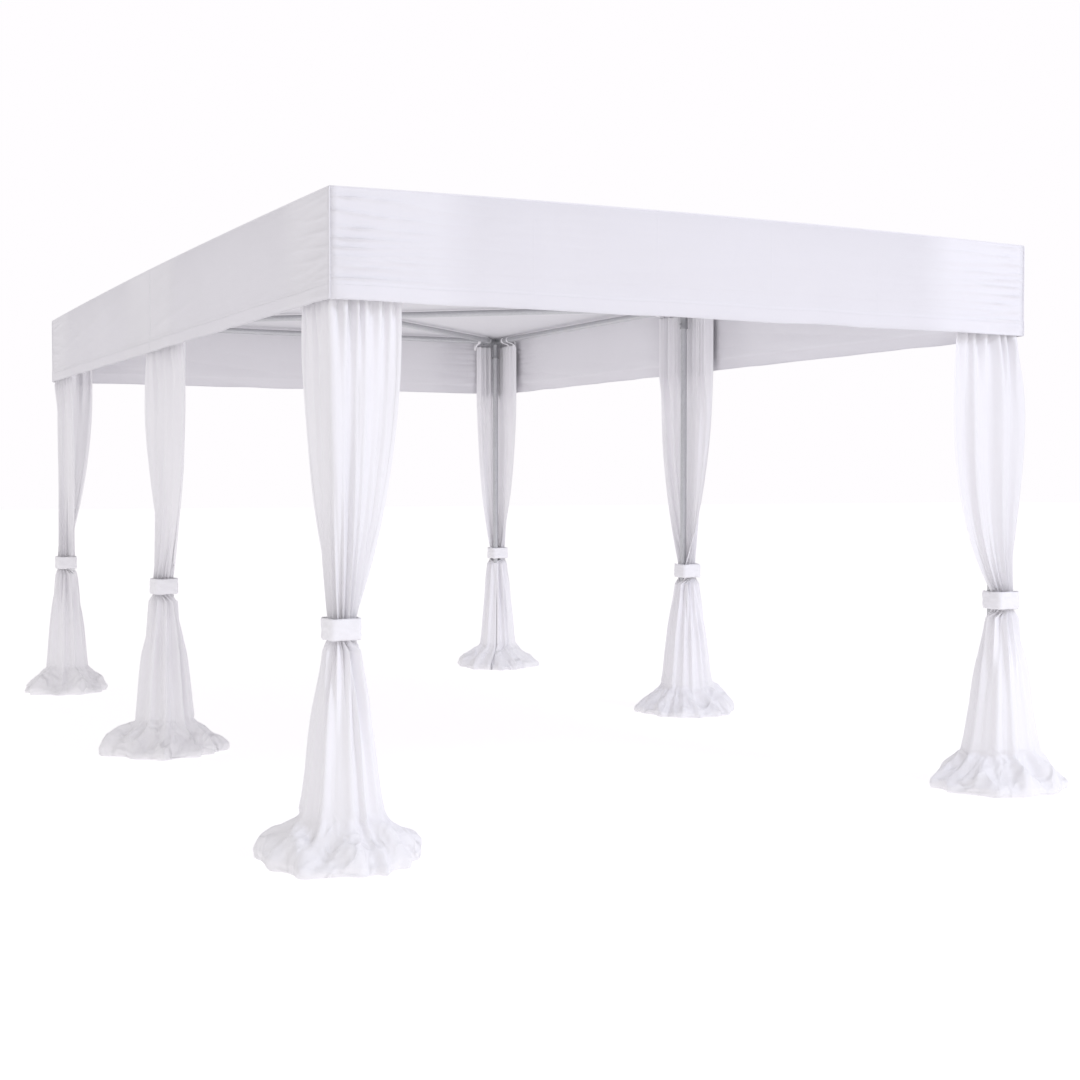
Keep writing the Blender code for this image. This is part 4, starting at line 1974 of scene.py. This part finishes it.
@dataclass
class TubeFrame:
    """The tubes, which keep their CAD shape, with detailed fittings, screws and curtain tabs."""

    finishes: Finishes
    tab_spacing: float = 0.095
    first_tab: float = 0.155
    tab_half_width: float = 0.0125
    tab_thickness: float = 0.0014

    def height(self) -> float:
        """The height of the tubes' centre lines."""
        low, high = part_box("rail_front")
        return (low.z + high.z) / 2

    def head(self, leg: Leg) -> Vector:
        """The middle of a leg's head fitting."""
        place = leg.axis()
        place.z = self.height()
        return place

    def hub(self, end: int) -> Vector:
        """The middle of a bay's roof hub."""
        low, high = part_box(f"fitting_{'front' if end < 0 else 'back'}_roof_hub")
        return Vector((0, (low.y + high.y) / 2, self.height()))

    def fittings(self) -> list[HeadFitting]:
        """Every fitting with the ways its sleeves point."""
        made = []
        for leg in Leg:
            side, end = leg.value
            here = self.head(leg)
            ways = [-UP, Vector((-side, 0, 0))]
            ways += [Vector((0, way, 0)) for way in (-1, 1) if way != end]
            ways += [(self.hub(bay) - here).normalized() for bay in (-1, 1) if end in (0, bay)]
            made.append(HeadFitting(self.finishes, "fitting_" + leg.label, here, ways))
        for end, name in ((-1, "front"), (1, "back")):
            hub = self.hub(end)
            ways = [(self.head(leg) - hub).normalized() for leg in Leg if leg.value[1] in (0, end)]
            made.append(HeadFitting(self.finishes, f"fitting_{name}_roof_hub", hub, ways))
        return made

    def screw(self) -> bpy.types.Object:
        """One hex-headed screw on its washer, facing up."""
        washer, washer_faces = lathe([(0.009, 0.0), (0.009, 0.0012), (0.0001, 0.0012)], 16)
        profile = [(0.0064, 0.001), (0.0064, 0.0054), (0.0056, 0.0062), (0.0001, 0.0062)]
        head, head_faces = lathe(profile, 6)
        faces = np.concatenate([washer_faces, head_faces + len(washer)])
        mesh = mesh_of("screw", np.concatenate([washer, head]), faces)
        mesh.shade_flat()
        return add_object("screw_source", mesh)

    def tab(self) -> bpy.types.Object:
        """One webbing tab from the heading, over the rail and back, seen with the curtain towards +X."""
        path = [
            (0.0640, -0.075), (0.0615, -0.040), (0.0480, -0.012), (0.0300, 0.012), (0.0120, 0.0222),
            (-0.0060, 0.0232), (-0.0200, 0.0130), (-0.0240, -0.0020), (-0.0180, -0.0170),
            (-0.0020, -0.0252), (0.0180, -0.0270), (0.0400, -0.0370), (0.0560, -0.0520), (0.0600, -0.0760),
        ]
        points, faces = [], []
        for x, z in path:
            points += [(x, -self.tab_half_width, z), (x, self.tab_half_width, z)]
        for i in range(len(path) - 1):
            faces.append((2 * i, 2 * i + 1, 2 * i + 3, 2 * i + 2))
        item = add_object("tab_source", mesh_of("tab", np.array(points), faces))
        smooth = item.modifiers.new("smooth", "SUBSURF")
        smooth.levels = smooth.render_levels = 1
        wall = item.modifiers.new("wall", "SOLIDIFY")
        wall.thickness = self.tab_thickness
        return bake(item)

    def tabs(self) -> None:
        """Makes the tabs that hold every curtain's heading to its rails."""
        places, facings = [], []
        shapes = Curtains(self.finishes).shapes()
        for leg in Leg:
            side, end = leg.value
            here, shape = self.head(leg), shapes[leg]
            if leg.layout is Layout.CORNER:
                wings = [
                    ((-side, 0, 0), (0, end, 0), shape.reach_end),
                    ((0, -end, 0), (side, 0, 0), shape.reach_side),
                ]
            else:
                wings = [
                    ((0, -1, 0), (side, 0, 0), shape.reach_end),
                    ((0, 1, 0), (side, 0, 0), shape.reach_side),
                ]
            for way, face, reach in wings:
                for distance in np.arange(self.first_tab, reach - 0.02, self.tab_spacing):
                    places.append(here + Vector(way) * float(distance))
                    facings.append(Vector(face))
        source = self.tab()
        values = {"Source": source, "Seed": 3, "Spin": 0.06, "Material": self.finishes.curtain}
        points = facing_points("curtain_tabs", places, facings)
        item = Scatter("X").run("curtain_tabs", points, values)
        drop_object(source)
        item.data.shade_smooth()
        finish(item, self.finishes.curtain)

    def build(self) -> None:
        """Dresses the tubes and makes the fittings, screws and tabs."""
        for name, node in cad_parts.items():
            if name.startswith(("leg_", "rail_", "rafter_", "cross_beam")):
                node.data.materials.clear()
                node.data.materials.append(self.finishes.tube)
        places, facings = [], []
        for fitting in self.fittings():
            fitting.build()
            more, faces = fitting.screws()
            places += more
            facings += faces
        source = self.screw()
        values = {"Source": source, "Seed": 5, "Spin": 3.1, "Material": self.finishes.screw}
        points = facing_points("fitting_screws", places, facings)
        screws = Scatter("Z").run("fitting_screws", points, values)
        drop_object(source)
        finish(screws, self.finishes.screw)
        self.tabs()


# The studio

@dataclass(frozen=True)
class Lamp:
    """A square soft light aimed at a point."""

    name: str
    place: tuple[float, float, float]
    target: tuple[float, float, float]
    size: float
    power: float
    colour: Colour

    def build(self) -> None:
        """Makes the light."""
        lamp = bpy.data.lights.new(self.name, "AREA")
        lamp.color = self.colour
        lamp.size = self.size
        lamp.energy = self.power
        item = bpy.data.objects.new(self.name, lamp)
        bpy.context.scene.collection.objects.link(item)
        item.location = self.place
        item.rotation_mode = "QUATERNION"
        item.rotation_quaternion = (Vector(self.target) - Vector(self.place)).to_track_quat("-Z", "Y")


@dataclass
class Studio:
    """The floor, the lights, the white surroundings and the camera."""

    camera_place: tuple[float, float, float] = (-3.9967, -9.2013, 1.56)
    yaw: float = -26.81
    pitch: float = -2.11
    lens: float = 53.68
    sensor: float = 36.0
    floor_size: float = 160.0
    surround: float = 0.75
    backdrop: Colour = (1.0, 0.982, 1.0)
    lamps: tuple[Lamp, ...] = (
        Lamp("key", (4.0, -10.0, 9.5), (0.0, -2.5, 1.4), 2.4, 370, (0.78, 0.83, 1.0)),
        Lamp("side", (9.0, -14.0, 5.0), (0.0, -2.0, 1.2), 3.5, 135, (0.90, 0.92, 1.0)),
    )

    def floor(self) -> None:
        """The floor, far wider than the view."""
        half = self.floor_size / 2
        corners = np.array([(-half, -half, 0), (half, -half, 0), (half, half, 0), (-half, half, 0)])
        ground = add_object("studio_floor", mesh_of("studio_floor", corners, [(0, 1, 2, 3)]))
        ground.data.materials.append(StudioFloor().build())

    def surroundings(self) -> None:
        """White all round, brighter to the camera than to the fabric."""
        world = bpy.data.worlds.new("studio")
        bpy.context.scene.world = world
        world.use_nodes = True
        tree = world.node_tree
        tree.nodes.clear()
        seen = tree.nodes.new("ShaderNodeBackground")
        seen.inputs["Color"].default_value = (*self.backdrop, 1)
        lit = tree.nodes.new("ShaderNodeBackground")
        lit.inputs["Color"].default_value = (*STUDIO_WHITE, 1)
        lit.inputs["Strength"].default_value = self.surround
        path = tree.nodes.new("ShaderNodeLightPath")
        mix = tree.nodes.new("ShaderNodeMixShader")
        output = tree.nodes.new("ShaderNodeOutputWorld")
        tree.links.new(path.outputs["Is Camera Ray"], mix.inputs[0])
        tree.links.new(lit.outputs[0], mix.inputs[1])
        tree.links.new(seen.outputs[0], mix.inputs[2])
        tree.links.new(mix.outputs[0], output.inputs[0])

    def camera(self) -> None:
        """The camera at the photograph's angle."""
        data = bpy.data.cameras.new("camera")
        data.lens = self.lens
        data.sensor_width = self.sensor
        data.clip_end = 500
        item = bpy.data.objects.new("camera", data)
        bpy.context.scene.collection.objects.link(item)
        item.location = self.camera_place
        item.rotation_euler = (math.radians(90 + self.pitch), 0, math.radians(self.yaw))
        bpy.context.scene.camera = item

    def build(self) -> None:
        """Makes the whole studio."""
        self.floor()
        self.surroundings()
        for lamp in self.lamps:
            lamp.build()
        self.camera()
        bpy.context.scene.view_settings.view_transform = "Standard"


def main() -> None:
    """Builds every piece in order."""
    logging.basicConfig(level=logging.INFO, format="%(name)s: %(message)s")
    Studio().build()
    finishes = Finishes()
    TubeFrame(finishes).build()
    Cover(finishes).build()
    Curtains(finishes).build()
    for leg in Leg:
        TieBand(finishes, leg).build()


if __name__ == "__main__":
    main()
